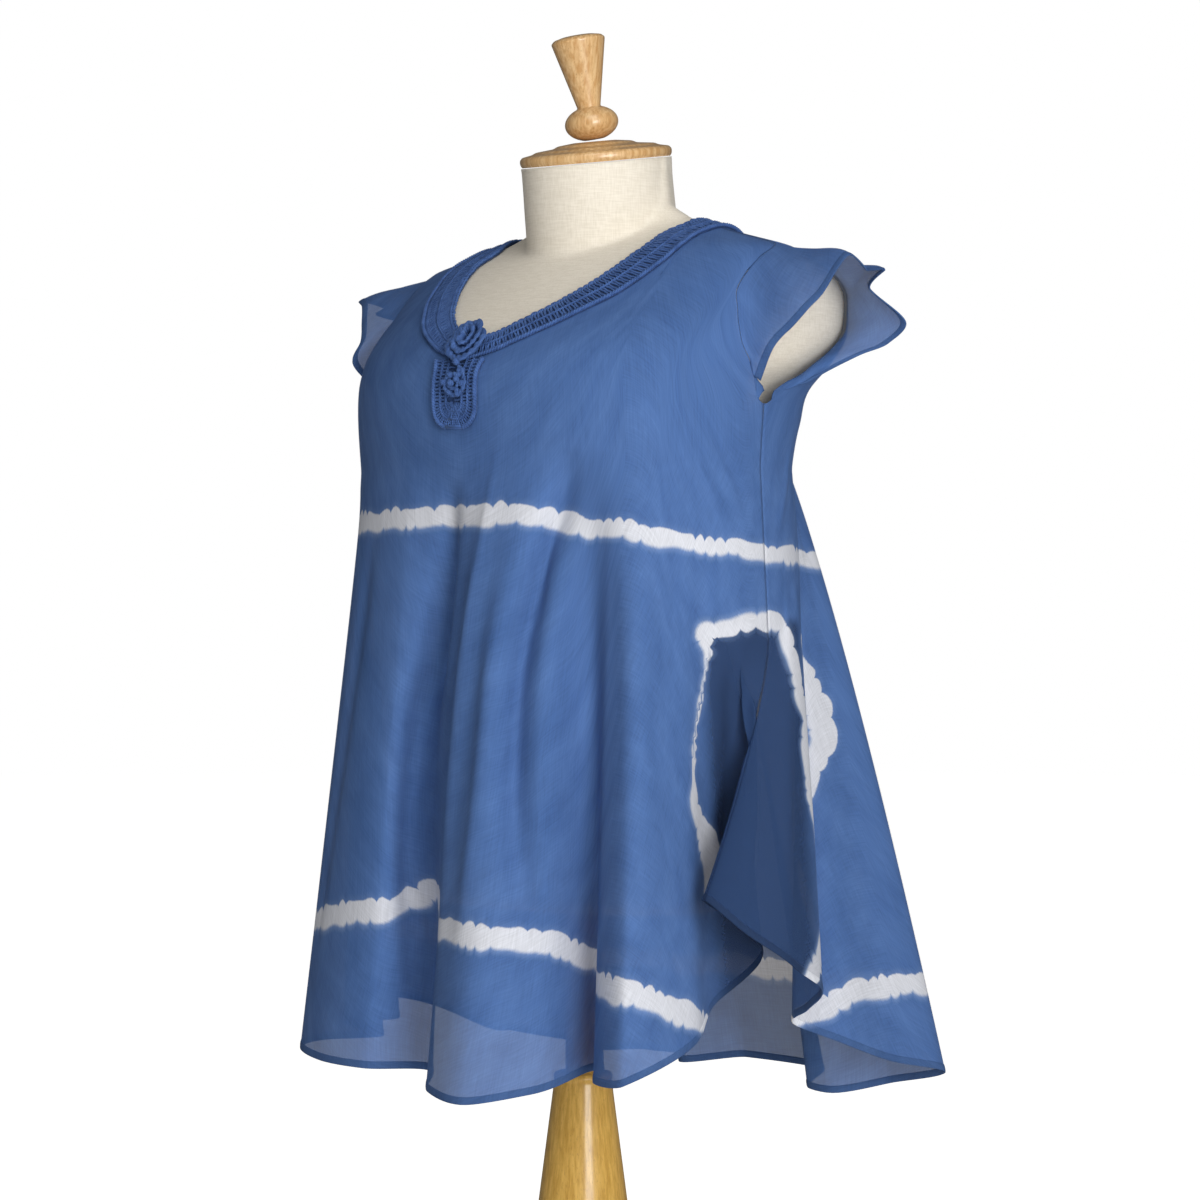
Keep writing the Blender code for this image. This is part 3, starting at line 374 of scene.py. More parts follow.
def fold_rows():
    """The fold table, run on past both ends of the turn."""
    rows = np.array(FOLDS)
    turn = np.zeros(6)
    turn[0] = 360
    return np.concatenate([rows - turn, rows, rows + turn])


FOLD_ROWS = fold_rows()
FOLD_PLAN = np.radians(FOLD_ROWS[:, 1])
FOLD_SHIFT = FOLD_ROWS[:, 2:3] * np.stack([np.sin(FOLD_PLAN), -np.cos(FOLD_PLAN)], -1)
FOLD_SHIFT = FOLD_SHIFT - body_point(FOLD_ROWS[:, 0], FOLD_ROWS[:, 3])[:, :2]


def hem_height(thread):
    """The height of the hem below a thread."""
    return smooth(thread, FOLD_ROWS[:, 0], FOLD_ROWS[:, 3])


def skirt_row(thread, drop):
    """A row of the skirt: drop is 0 at the underarm's level and 1 at the hem."""
    hem_z = hem_height(thread)
    base = body_point(thread, UNDERARM_Z + (hem_z - UNDERARM_Z) * drop)
    start, growth = FOLD_ROWS[:, 4], FOLD_ROWS[:, 5]
    row_z = UNDERARM_Z + (FOLD_ROWS[:, 3] - UNDERARM_Z) * drop
    grown = np.clip((start - row_z) / (start - FOLD_ROWS[:, 3]), 0, 1) ** growth
    base[..., :2] += smooth(thread, FOLD_ROWS[:, 0], FOLD_SHIFT * grown[:, None])
    return base


def angle_at(x, z, back):
    """The angle of the body's point at a distance x from the middle plane, before or behind it."""
    size = cloth_size(z)
    square = size[5] if back else size[4]
    angle = np.degrees(np.arcsin(np.clip(np.abs(x) / size[0], 0, 1) ** (square / 2)))
    return np.where(np.asarray(x) < 0, -1.0, 1.0) * (180 - angle if back else angle)


def bodice_row(thread, rise, table):
    """A row above the underarm: rise is 0 there and 1 at the panel's top edge."""
    rows = np.array(sorted(table))
    back = rows[0, 0] == SIDE_SEAM
    side, hand = np.abs(thread), np.where(thread < 0, -1.0, 1.0)
    share = smooth(side, rows[:, 0], rows[:, 1])
    top_z = smooth(side, rows[:, 0], rows[:, 2])
    z = UNDERARM_Z + (top_z - UNDERARM_Z) * rise
    low = section_point(side, cloth_size(np.full_like(side, UNDERARM_Z)))[0]
    x = low + (share * cloth_size(top_z)[0] - low) * rise
    return body_point(hand * angle_at(x, z, back), z)


def grid_normals(grid, closed=False):
    """Unit outward normals of a grid whose rows run down and columns run with the thread."""
    across = np.roll(grid, -1, 1) - np.roll(grid, 1, 1) if closed else np.gradient(grid, axis=1)
    normal = np.cross(across, -np.gradient(grid, axis=0))
    return normal / np.maximum(np.linalg.norm(normal, axis=-1, keepdims=True), 1e-12)


# ---------------------------------------------------------------- meshes


def shell_faces(rows, columns, closed=False):
    """Faces of a wall between two grids of points, the outer grid's points first."""
    half = rows * columns
    across = np.arange(columns if closed else columns - 1)
    nxt = (across + 1) % columns
    base = (np.arange(rows - 1) * columns)[:, None]
    a, b = (base + across).ravel(), (base + nxt).ravel()
    c, d = b + columns, a + columns
    last = (rows - 1) * columns
    parts = [
        np.stack([a, d, c, b], 1),
        np.stack([half + a, half + b, half + c, half + d], 1),
        np.stack([across, nxt, half + nxt, half + across], 1),
        np.stack([last + across, half + last + across, half + last + nxt, last + nxt], 1),
    ]
    if not closed:
        a = np.arange(rows - 1) * columns
        b = a + columns
        parts.append(np.stack([a, half + a, half + b, b], 1))
        a, b = a + columns - 1, b + columns - 1
        parts.append(np.stack([a, b, half + b, half + a], 1))
    return np.concatenate(parts)


def add_piece(name, points, faces, finish, notes=None):
    """A mesh piece that rides on the object's body, with any values that its material reads."""
    mesh = bpy.data.meshes.new(name)
    faces = [list(map(int, face)) for face in faces]
    mesh.from_pydata(np.asarray(points, float).tolist(), [], faces)
    for note, values in (notes or {}).items():
        values = np.asarray(values, np.float32)
        kind, key = ("FLOAT", "value") if values.ndim == 1 else ("FLOAT_VECTOR", "vector")
        mesh.attributes.new(note, kind, "POINT").data.foreach_set(key, values.ravel())
    mesh.materials.append(finish)
    mesh.shade_smooth()
    made = bpy.data.objects.new(name, mesh)
    bpy.context.scene.collection.objects.link(made)
    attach(made, BODY)
    return made


def strands(lines, facings, radius, sides=6, closed=True):
    """Points and faces of round strands along lines of points, all with as many points. A facing is
    a direction across the strand at each point."""
    lines, facings = np.atleast_3d(lines), np.atleast_3d(facings)
    if lines.shape[-1] != 3:
        lines, facings = np.moveaxis(lines, -1, 0), np.moveaxis(facings, -1, 0)
    count, length = lines.shape[:2]
    if closed:
        along = np.roll(lines, -1, 1) - np.roll(lines, 1, 1)
    else:
        along = np.gradient(lines, axis=1)
    first = np.cross(along, facings)
    first /= np.maximum(np.linalg.norm(first, axis=-1, keepdims=True), 1e-12)
    second = np.cross(first, along)
    second /= np.maximum(np.linalg.norm(second, axis=-1, keepdims=True), 1e-12)
    turn = np.linspace(0, 2 * math.pi, sides, endpoint=False)
    radius = np.broadcast_to(np.asarray(radius, float), (count, length))[..., None, None]
    ring = np.cos(turn)[:, None] * first[..., None, :]
    ring = ring + np.sin(turn)[:, None] * second[..., None, :]
    points = (lines[..., None, :] + radius * ring).reshape(-1, 3)
    steps = np.arange(length if closed else length - 1)
    start = (np.arange(count) * length * sides)[:, None, None]
    near = start + (steps * sides)[None, :, None]
    far = start + (((steps + 1) % length) * sides)[None, :, None]
    k = np.arange(sides)[None, None, :]
    n = (k + 1) % sides
    faces = np.stack([near + k, near + n, far + n, far + k], -1).reshape(-1, 4).tolist()
    if not closed:
        for i in range(count):
            a = i * length * sides
            b = a + (length - 1) * sides
            faces.append([a + j for j in reversed(range(sides))])
            faces.append([b + j for j in range(sides)])
    return points, faces


def joined(parts):
    """Several (points, faces) as one."""
    points, faces, start = [], [], 0
    for some, theirs in parts:
        points.append(some)
        faces += [[start + i for i in face] for face in theirs]
        start += len(some)
    return np.concatenate(points), faces


def off_surface(tree, points):
    """How far points stand off a closed surface, less than zero inside it."""
    away = np.empty(len(points))
    for k, point in enumerate(points):
        here = Vector(point)
        near, facing, _, _ = tree.find_nearest(here)
        away[k] = math.copysign((here - near).length, (here - near).dot(facing))
    return away


# ---------------------------------------------------------------- materials


def node(tree, kind, settings=None, links=None):
    """Adds a node, sets its properties and sockets, and links sockets of it to others."""
    made = tree.nodes.new(kind)
    for key, value in (settings or {}).items():
        if isinstance(key, str) and hasattr(made, key):
            setattr(made, key, value)
        else:
            made.inputs[key].default_value = value
    for key, source in (links or {}).items():
        tree.links.new(source, made.inputs[key])
    return made


def new_material(name, settings):
    """A material with one Principled shader and its settings."""
    made = bpy.data.materials.new(name)
    made.use_nodes = True
    tree = made.node_tree
    shader = tree.nodes["Principled BSDF"]
    for key, value in settings.items():
        shader.inputs[key].default_value = value
    return made, tree, shader


# How much of the blue is left: in a hem, where the doubled dye is deeper, and inside an arch, as
# painted shade.
HEM_DEPTH = 0.62
ARCH_SHADE = 0.46


def voile_material(name, dye, see_through, depth=1.0):
    """Cotton voile, plain woven and resist dyed: matt, with slubs in its yarn and dye clouds, and
    open enough between its yarns that what is behind it shows faintly. Doubled in a hem it shows
    nothing behind it and looks deeper blue. Inside the arch round each side seam its blue is
    darkened with painted shade."""
    made, tree, shader = new_material(
        name,
        {
            "Roughness": 0.86,
            "IOR": 1.50,
            "Sheen Weight": 0.10,
            "Sheen Roughness": 0.45,
            "Sheen Tint": (*linear("#7F9CCB"), 1),
            "Specular IOR Level": 0.25,
            "Alpha": 1 - see_through,
        },
    )
    place = node(tree, "ShaderNodeAttribute", {"attribute_name": "cloth_mm"}).outputs["Vector"]
    # Yarns lie 0.4 mm apart, too fine to show, so slubs are drawn 1.3 mm thick and 20 mm long.
    slubs = []
    for scale in ((0.9, 0.045, 1), (0.045, 0.9, 1)):
        stretched = node(
            tree,
            "ShaderNodeVectorMath",
            {"operation": "MULTIPLY", 1: scale},
            {0: place},
        )
        slubs.append(
            node(
                tree,
                "ShaderNodeTexNoise",
                {"noise_dimensions": "2D", "Scale": 0.9, "Detail": 2.0, "Roughness": 0.6},
                {"Vector": stretched.outputs[0]},
            ).outputs["Fac"]
        )
    slub = node(
        tree, "ShaderNodeMath", {"operation": "ADD"}, {0: slubs[0], 1: slubs[1]}
    ).outputs[0]
    # Clouds of dye are 20 to 40 mm across.
    cloud = node(
        tree,
        "ShaderNodeTexNoise",
        {"noise_dimensions": "2D", "Scale": 0.028, "Detail": 3.0, "Roughness": 0.55},
        {"Vector": place},
    ).outputs["Fac"]
    cloudy = node(
        tree,
        "ShaderNodeMixRGB",
        {
            "Color1": (*(c * depth for c in dye.deep), 1),
            "Color2": (*(c * depth for c in dye.light), 1),
        },
        {"Fac": cloud},
    ).outputs[0]
    shade = node(
        tree, "ShaderNodeMapRange", {1: 0.6, 2: 1.4, 3: 0.86, 4: 1.12}, {0: slub}
    ).outputs[0]
    # Painted shade: the blue is darkened inside the arch round each side seam, where the cloth lies
    # in a deep valley.
    inside = node(tree, "ShaderNodeAttribute", {"attribute_name": "dye_deep"}).outputs["Fac"]
    cloudy = node(
        tree,
        "ShaderNodeMixRGB",
        {"Color2": (*(c * depth * ARCH_SHADE for c in dye.deep), 1)},
        {"Fac": inside, "Color1": cloudy},
    ).outputs[0]
    white = resist_mask(tree, place)
    halo = node(
        tree,
        "ShaderNodeMixRGB",
        {"Color2": (*dye.halo, 1)},
        {"Fac": white["halo"], "Color1": cloudy},
    ).outputs[0]
    dyed = node(
        tree,
        "ShaderNodeMixRGB",
        {"Color2": (*dye.undyed, 1)},
        {"Fac": white["core"], "Color1": halo},
    ).outputs[0]
    final = node(
        tree,
        "ShaderNodeMixRGB",
        {"blend_type": "MULTIPLY", "Fac": 1.0},
        {"Color1": dyed, "Color2": shade},
    ).outputs[0]
    tree.links.new(final, shader.inputs["Base Color"])
    bump = node(
        tree,
        "ShaderNodeBump",
        {"Strength": 0.10, "Distance": 0.0006},
        {"Height": slub},
    )
    tree.links.new(bump.outputs[0], shader.inputs["Normal"])
    return made


def resist_mask(tree, place):
    """How white the cloth is where it was stitched and gathered against the dye: uneven lobes 15 to
    30 mm long, crisp above, and below with dark nicks between them and a pale halo."""
    along, far, half, side = [
        node(tree, "ShaderNodeAttribute", {"attribute_name": n}).outputs["Fac"]
        for n in ("dye_along", "dye_across", "dye_half", "dye_side")
    ]
    math_node = "ShaderNodeMath"
    seed = node(
        tree, math_node, {"operation": "MULTIPLY_ADD", 1: 37.0, 2: 50.0}, {0: side}
    ).outputs[0]
    run = node(tree, math_node, {"operation": "ADD"}, {0: along, 1: seed}).outputs[0]
    wander = node(
        tree,
        "ShaderNodeTexNoise",
        {"noise_dimensions": "1D", "Scale": 0.026, "Detail": 0.0},
        {"W": run},
    ).outputs["Fac"]
    warped = node(
        tree, math_node, {"operation": "MULTIPLY_ADD", 1: 56.0}, {0: wander, 2: run}
    ).outputs[0]
    phase = node(
        tree, math_node, {"operation": "MULTIPLY", 1: math.pi / 22.0}, {0: warped}
    ).outputs[0]
    wave = node(tree, math_node, {"operation": "SINE"}, {0: phase}).outputs[0]
    lobe = node(tree, math_node, {"operation": "ABSOLUTE"}, {0: wave}).outputs[0]
    # Below, the lobes are nearly flat with narrow nicks. Above, they are round.
    roundness = node(
        tree, math_node, {"operation": "MULTIPLY_ADD", 1: 0.20, 2: 0.50}, {0: side}
    ).outputs[0]
    lobe = node(tree, math_node, {"operation": "POWER"}, {0: lobe, 1: roundness}).outputs[0]
    size = node(
        tree,
        "ShaderNodeTexNoise",
        {"noise_dimensions": "1D", "Scale": 0.034, "Detail": 0.0},
        {"W": run},
    ).outputs["Fac"]
    depth = node(
        tree, "ShaderNodeMapRange", {1: 0.3, 2: 0.7, 3: 2.6, 4: 5.8}, {0: size}
    ).outputs[0]
    ragged = node(
        tree,
        "ShaderNodeTexNoise",
        {"noise_dimensions": "2D", "Scale": 0.36, "Detail": 3.0, "Roughness": 0.6},
        {"Vector": place},
    ).outputs["Fac"]
    reach = node(
        tree, math_node, {"operation": "MULTIPLY_ADD", 2: -4.0}, {0: lobe, 1: depth}
    ).outputs[0]
    reach = node(
        tree, math_node, {"operation": "MULTIPLY_ADD", 1: 1.5}, {0: ragged, 2: reach}
    ).outputs[0]
    edge = node(tree, math_node, {"operation": "ADD"}, {0: half, 1: reach}).outputs[0]
    inside = node(tree, math_node, {"operation": "SUBTRACT"}, {0: edge, 1: far}).outputs[0]
    feather = node(
        tree, math_node, {"operation": "MULTIPLY_ADD", 1: -0.55, 2: 1.45}, {0: side}
    ).outputs[0]
    soft = node(tree, math_node, {"operation": "DIVIDE"}, {0: inside, 1: feather}).outputs[0]
    core = node(
        tree,
        "ShaderNodeMapRange",
        {"interpolation_type": "SMOOTHSTEP", 1: -1.0, 2: 1.0},
        {0: soft},
    ).outputs[0]
    glow = node(
        tree,
        "ShaderNodeMapRange",
        {"interpolation_type": "SMOOTHSTEP", 1: -6.5, 2: 1.5},
        {0: inside},
    ).outputs[0]
    share = node(
        tree, math_node, {"operation": "MULTIPLY_ADD", 1: -0.20, 2: 0.42}, {0: side}
    ).outputs[0]
    halo = node(tree, math_node, {"operation": "MULTIPLY"}, {0: glow, 1: share}).outputs[0]
    return {"core": core, "halo": halo}


def yarn_material(name, yarn, shade):
    """Crochet cotton, three ply and mercerised a little: matt loops, lighter on their crowns. A
    shade below one darkens it all over; on the grounds that is painted shade.
    """
    made, tree, shader = new_material(
        name,
        {
            "Roughness": 0.78,
            "IOR": 1.50,
            "Sheen Weight": 0.35,
            "Sheen Roughness": 0.4,
            "Sheen Tint": (*linear("#8FA9D2"), 1),
            "Specular IOR Level": 0.3,
        },
    )
    place = node(tree, "ShaderNodeTexCoord").outputs["Object"]
    # Plies lie 0.7 mm apart along the yarn.
    fibre = node(
        tree,
        "ShaderNodeTexNoise",
        {"Scale": 1400.0, "Detail": 2.0, "Roughness": 0.6},
        {"Vector": place},
    ).outputs["Fac"]
    patch = node(
        tree, "ShaderNodeTexNoise", {"Scale": 120.0, "Detail": 2.0}, {"Vector": place}
    ).outputs["Fac"]
    mixed = node(
        tree, "ShaderNodeMath", {"operation": "MULTIPLY_ADD", 1: 0.6}, {0: fibre, 2: patch}
    ).outputs[0]
    level = node(tree, "ShaderNodeMapRange", {1: 0.45, 2: 1.15}, {0: mixed}).outputs[0]
    colour = node(
        tree,
        "ShaderNodeMixRGB",
        {
            "Color1": (*(c * shade for c in yarn.deep), 1),
            "Color2": (*(c * shade for c in yarn.light), 1),
        },
        {"Fac": level},
    ).outputs[0]
    tree.links.new(colour, shader.inputs["Base Color"])
    bump = node(
        tree, "ShaderNodeBump", {"Strength": 0.5, "Distance": 0.0003}, {"Height": fibre}
    )
    tree.links.new(bump.outputs[0], shader.inputs["Normal"])
    return made


def linen_material(stand):
    """Plain woven linen stretched over the form: matt, with a faint weave and slubs."""
    made, tree, shader = new_material(
        "cream_linen_woven",
        {
            "Roughness": 0.9,
            "IOR": 1.5,
            "Sheen Weight": 0.12,
            "Specular IOR Level": 0.2,
        },
    )
    place = node(tree, "ShaderNodeTexCoord").outputs["Object"]
    # Threads lie 0.6 mm apart, drawn 1 mm apart so that they show.
    weave = []
    for scale in ((900, 900, 90), (90, 90, 900)):
        stretched = node(
            tree, "ShaderNodeVectorMath", {"operation": "MULTIPLY", 1: scale}, {0: place}
        ).outputs[0]
        weave.append(
            node(
                tree,
                "ShaderNodeTexNoise",
                {"Scale": 1.0, "Detail": 1.0},
                {"Vector": stretched},
            ).outputs["Fac"]
        )
    thread = node(
        tree, "ShaderNodeMath", {"operation": "ADD"}, {0: weave[0], 1: weave[1]}
    ).outputs[0]
    level = node(tree, "ShaderNodeMapRange", {1: 0.7, 2: 1.3}, {0: thread}).outputs[0]
    colour = node(
        tree,
        "ShaderNodeMixRGB",
        {"Color1": (*stand.linen_deep, 1), "Color2": (*stand.linen_light, 1)},
        {"Fac": level},
    ).outputs[0]
    tree.links.new(colour, shader.inputs["Base Color"])
    bump = node(
        tree, "ShaderNodeBump", {"Strength": 0.12, "Distance": 0.0004}, {"Height": thread}
    )
    tree.links.new(bump.outputs[0], shader.inputs["Normal"])
    return made


def beech_material(name, deep, light, fleck):
    """Turned beech under satin varnish: straight pale grain with short brown flecks, and a soft
    clear gloss over it."""
    made, tree, shader = new_material(
        name,
        {
            "Roughness": 0.42,
            "IOR": 1.52,
            "Coat Weight": 0.6,
            "Coat Roughness": 0.16,
            "Coat IOR": 1.5,
            "Specular IOR Level": 0.4,
        },
    )
    place = node(tree, "ShaderNodeTexCoord").outputs["Object"]
    # Grain lines are 2 mm wide and run up the piece; beech flecks are 0.5 mm by 3 mm.
    readings = []
    for scale, detail in (((420, 420, 26), 3.0), ((1500, 1500, 260), 1.0)):
        stretched = node(
            tree, "ShaderNodeVectorMath", {"operation": "MULTIPLY", 1: scale}, {0: place}
        ).outputs[0]
        readings.append(
            node(
                tree,
                "ShaderNodeTexNoise",
                {"Scale": 1.0, "Detail": detail},
                {"Vector": stretched},
            ).outputs["Fac"]
        )
    level = node(tree, "ShaderNodeMapRange", {1: 0.35, 2: 0.65}, {0: readings[0]}).outputs[0]
    colour = node(
        tree,
        "ShaderNodeMixRGB",
        {"Color1": (*deep, 1), "Color2": (*light, 1)},
        {"Fac": level},
    ).outputs[0]
    spots = node(
        tree, "ShaderNodeMapRange", {1: 0.62, 2: 0.72, 4: 0.45}, {0: readings[1]}
    ).outputs[0]
    colour = node(
        tree,
        "ShaderNodeMixRGB",
        {"Color2": (*fleck, 1)},
        {"Fac": spots, "Color1": colour},
    ).outputs[0]
    tree.links.new(colour, shader.inputs["Base Color"])
    bump = node(
        tree, "ShaderNodeBump", {"Strength": 0.04, "Distance": 0.0005}, {"Height": readings[0]}
    )
    tree.links.new(bump.outputs[0], shader.inputs["Normal"])
    return made


# ---------------------------------------------------------------- dye lines

# The centre line of each white line: thread, height and half its width in mm.
DYE_LINES = {
    "front": (
        (
            (-90.0, 0.7240, 7.5),
            (-70.0, 0.7265, 7.5),
            (-50.0, 0.7320, 8.0),
            (-39.5, 0.7336, 8.0),
            (-26.0, 0.7354, 8.0),
            (-17.0, 0.7376, 7.5),
            (-9.5, 0.7372, 7.5),
            (-1.5, 0.7391, 8.5),
            (8.5, 0.7384, 8.5),
            (14.0, 0.7405, 7.5),
            (18.5, 0.7387, 8.0),
            (24.5, 0.7352, 7.5),
            (34.5, 0.7293, 7.0),
            (47.0, 0.7270, 7.5),
            (55.5, 0.7213, 6.5),
            (66.0, 0.7159, 6.0),
            (76.0, 0.7141, 6.0),
            (90.0, 0.7100, 6.0),
        ),
        (
            (-90.0, 0.3920, 8.0),
            (-80.0, 0.3950, 7.5),
            (-70.0, 0.4000, 7.5),
            (-60.0, 0.4050, 8.0),
            (-50.0, 0.4105, 8.0),
            (-42.0, 0.4150, 8.0),
            (-34.5, 0.4190, 8.0),
            (-27.0, 0.4253, 8.5),
            (-21.5, 0.4296, 8.5),
            (-17.5, 0.4317, 8.5),
            (-13.5, 0.4334, 8.5),
            (-9.5, 0.4394, 7.5),
            (-7.0, 0.4458, 7.0),
            (-3.0, 0.4480, 7.0),
            (1.0, 0.4380, 7.0),
            (5.0, 0.4245, 8.0),
            (10.0, 0.4240, 9.0),
            (14.0, 0.4231, 9.0),
            (18.5, 0.4214, 9.0),
            (23.0, 0.4183, 9.0),
            (27.0, 0.4101, 9.0),
            (30.0, 0.4029, 9.0),
            (33.5, 0.3990, 8.0),
            (38.0, 0.3930, 8.0),
            (42.5, 0.3880, 9.0),
            (45.5, 0.3866, 9.0),
            (49.5, 0.3857, 9.0),
            (52.0, 0.3807, 9.0),
            (54.0, 0.3759, 9.0),
            (56.5, 0.3688, 9.0),
            (59.0, 0.3625, 8.0),
            (63.0, 0.3520, 7.0),
        ),
        (
            (90.0, 0.6570, 6.5),
            (87.5, 0.6572, 6.5),
            (82.5, 0.6564, 6.5),
            (76.5, 0.6543, 6.5),
            (71.5, 0.6519, 6.5),
            (67.2, 0.6474, 8.5),
            (68.2, 0.6380, 2.6),
            (66.8, 0.6187, 1.3),
            (64.6, 0.5967, 1.3),
            (62.8, 0.5771, 1.6),
            (61.5, 0.5465, 2.4),
            (61.6, 0.5241, 5.4),
            (64.0, 0.5012, 10.5),
            (66.0, 0.4800, 13.0),
            (66.3, 0.4650, 12.5),
            (65.0, 0.4540, 8.0),
        ),
        (
            (-90.0, 0.6570, 6.5),
            (-82.5, 0.6560, 6.5),
            (-75.0, 0.6520, 7.0),
            (-69.0, 0.6400, 7.5),
            (-65.5, 0.6100, 8.0),
            (-63.0, 0.5700, 8.5),
            (-62.0, 0.5300, 8.5),
            (-63.0, 0.4950, 8.0),
            (-64.5, 0.4700, 7.0),
        ),
    ),
    "back": (
        (
            (90.0, 0.7100, 6.0),
            (102.5, 0.7085, 6.0),
            (115.0, 0.7065, 6.0),
            (138.5, 0.7056, 6.5),
            (160.0, 0.7110, 7.5),
            (180.0, 0.7160, 8.0),
            (200.0, 0.7140, 8.0),
            (225.0, 0.7110, 7.5),
            (250.0, 0.7160, 7.0),
            (270.0, 0.7240, 7.5),
        ),
        (
            (121.0, 0.3460, 6.0),
            (124.5, 0.3500, 7.5),
            (126.5, 0.3580, 8.0),
            (129.5, 0.3674, 8.5),
            (134.5, 0.3691, 8.5),
            (137.5, 0.3709, 8.5),
            (140.0, 0.3695, 8.5),
            (150.0, 0.3660, 8.0),
            (160.0, 0.3640, 8.0),
            (180.0, 0.3660, 8.5),
            (200.0, 0.3650, 8.0),
            (215.0, 0.3690, 8.0),
            (228.0, 0.3740, 8.0),
            (240.0, 0.3770, 7.5),
            (250.0, 0.3830, 7.5),
            (260.0, 0.3890, 8.0),
            (270.0, 0.3920, 8.0),
        ),
        (
            (90.0, 0.6570, 6.5),
            (93.5, 0.6571, 6.5),
            (96.5, 0.6530, 6.5),
            (99.5, 0.6450, 6.5),
            (102.0, 0.6320, 7.5),
            (104.5, 0.6150, 8.5),
            (106.0, 0.6000, 8.5),
            (108.5, 0.5880, 8.0),
            (109.5, 0.5720, 13.0),
            (109.5, 0.5550, 15.0),
            (110.0, 0.5350, 15.0),
            (110.5, 0.5150, 13.0),
            (111.0, 0.5000, 9.0),
            (111.0, 0.4900, 4.0),
        ),
        (
            (112.0, 0.6400, 6.0),
            (118.0, 0.6340, 8.0),
            (123.0, 0.6260, 9.0),
            (126.0, 0.6120, 11.5),
            (128.5, 0.5980, 13.0),
            (130.5, 0.5820, 14.0),
            (130.5, 0.5660, 14.0),
            (128.5, 0.5510, 11.0),
            (126.5, 0.5380, 8.0),
            (125.0, 0.5220, 6.0),
            (123.5, 0.5030, 4.0),
            (122.0, 0.4850, 3.0),
        ),
        (
            (119.5, 0.4700, 3.0),
            (117.5, 0.4550, 7.5),
            (113.5, 0.4320, 7.5),
            (109.5, 0.4120, 8.0),
            (106.0, 0.3960, 8.5),
            (104.5, 0.3890, 8.5),
        ),
        (
            (270.0, 0.6570, 6.5),
            (263.0, 0.6550, 6.5),
            (257.0, 0.6480, 7.5),
            (251.0, 0.6300, 8.0),
            (247.0, 0.6000, 9.0),
            (245.0, 0.5650, 9.0),
            (246.0, 0.5300, 8.5),
            (248.5, 0.4900, 8.0),
            (252.0, 0.4500, 8.0),
            (256.0, 0.4150, 8.0),
        ),
    ),
}

FAR_FROM_DYE = 60.0
# Degrees of thread that are about as long as a metre of height, and how many threads away a line or
# a crease still reaches.
THREADS_A_METRE = 400
NEAR_THREADS = 14


def tree_of(points):
    """A tree that finds the nearest of some points."""
    tree = KDTree(len(points))
    for k, point in enumerate(points):
        tree.insert(point, k)
    tree.balance()
    return tree


def dye_notes(side, points, where):
    """For each point of a panel: mm along the nearest white line, mm from its middle, half its
    width there, and the side of it, 1 or -1. where gives the points' threads and heights."""
    points = points.reshape(-1, 3)
    threads, heights = where[0].ravel(), where[1].ravel()
    best = np.full(len(points), 1e9)
    notes = np.zeros((4, len(points)))
    notes[1] = FAR_FROM_DYE
    run_on = 0.0
    for line in DYE_LINES[side]:
        rows = np.array(line)
        step = np.hypot(np.diff(rows[:, 0]), np.diff(rows[:, 1]) * THREADS_A_METRE)
        order = np.concatenate([[0], np.cumsum(step)])
        fine = np.linspace(0, order[-1], 2200)
        thread, height, half = smooth(fine, order, rows).T
        places = panel_places(thread, height)
        along = run_length(places) * 1000 + run_on
        run_on = along[-1] + 200
        tree = tree_of(places)
        for i, point in enumerate(points):
            _, k, far = tree.find(point)
            mm = far * 1000
            if mm - half[k] < best[i] and abs(threads[i] - thread[k]) < NEAR_THREADS:
                best[i] = mm - half[k]
                a, b = max(k - 3, 0), min(k + 3, len(fine) - 1)
                turn = (thread[b] - thread[a]) * (heights[i] - height[k]) * THREADS_A_METRE
                turn -= (height[b] - height[a]) * THREADS_A_METRE * (threads[i] - thread[k])
                notes[:, i] = along[k], min(mm, FAR_FROM_DYE), half[k], math.copysign(1, turn)
    return dict(zip(("dye_along", "dye_across", "dye_half", "dye_side"), notes))


def panel_places(thread, height):
    """Points of the hanging skirt by thread and height."""
    hem_z = hem_height(thread)
    drop = np.clip((UNDERARM_Z - height) / (UNDERARM_Z - hem_z), 0, 1)
    base = body_point(thread, height)
    start, growth = FOLD_ROWS[:, 4], FOLD_ROWS[:, 5]
    for k in range(len(thread)):
        row_z = UNDERARM_Z + (FOLD_ROWS[:, 3] - UNDERARM_Z) * drop[k]
        grown = np.clip((start - row_z) / (start - FOLD_ROWS[:, 3]), 0, 1) ** growth
        near = np.searchsorted(FOLD_ROWS[:, 0], thread[k])
        pick = slice(near - 4, near + 4)
        base[k, :2] += smooth(
            thread[k : k + 1], FOLD_ROWS[pick, 0], (FOLD_SHIFT * grown[:, None])[pick]
        )[0]
    return base


# ---------------------------------------------------------------- form and stand

SHAPES = {}
CLOTH_THICK = 0.0005
FORM_CLEARANCE = 0.0008
HEM_WIDTH = 0.0055
HEM_SWELL = 0.0003
HEM_ROWS = 26
PANEL_THREADS = 236
BODICE_ROWS = 48
SKIRT_ROWS = 132
ROWS_NEAR_FORM = slice(0, 100)

# Where the painted shade inside each arch ends, and the span it fades over: in front and behind in
# degrees from the centre front, and above in metres.
ARCH_FRONT, ARCH_BACK, ARCH_TOP = (64, 5), (111, 7), (0.664, 0.012)


def kept(name, make):
    """A shape that several pieces read, made once."""
    if name not in SHAPES:
        SHAPES[name] = make()
    return SHAPES[name]


def ring_faces(count, sides):
    """Faces of a closed solid from rings of points that run upwards."""
    a = np.arange(sides)
    b = (a + 1) % sides
    row = (np.arange(count - 1) * sides)[:, None]
    walls = np.stack([row + a, row + b, row + sides + b, row + sides + a], -1).reshape(-1, 4)
    return [*walls.tolist(), a[::-1].tolist(), ((count - 1) * sides + a).tolist()]


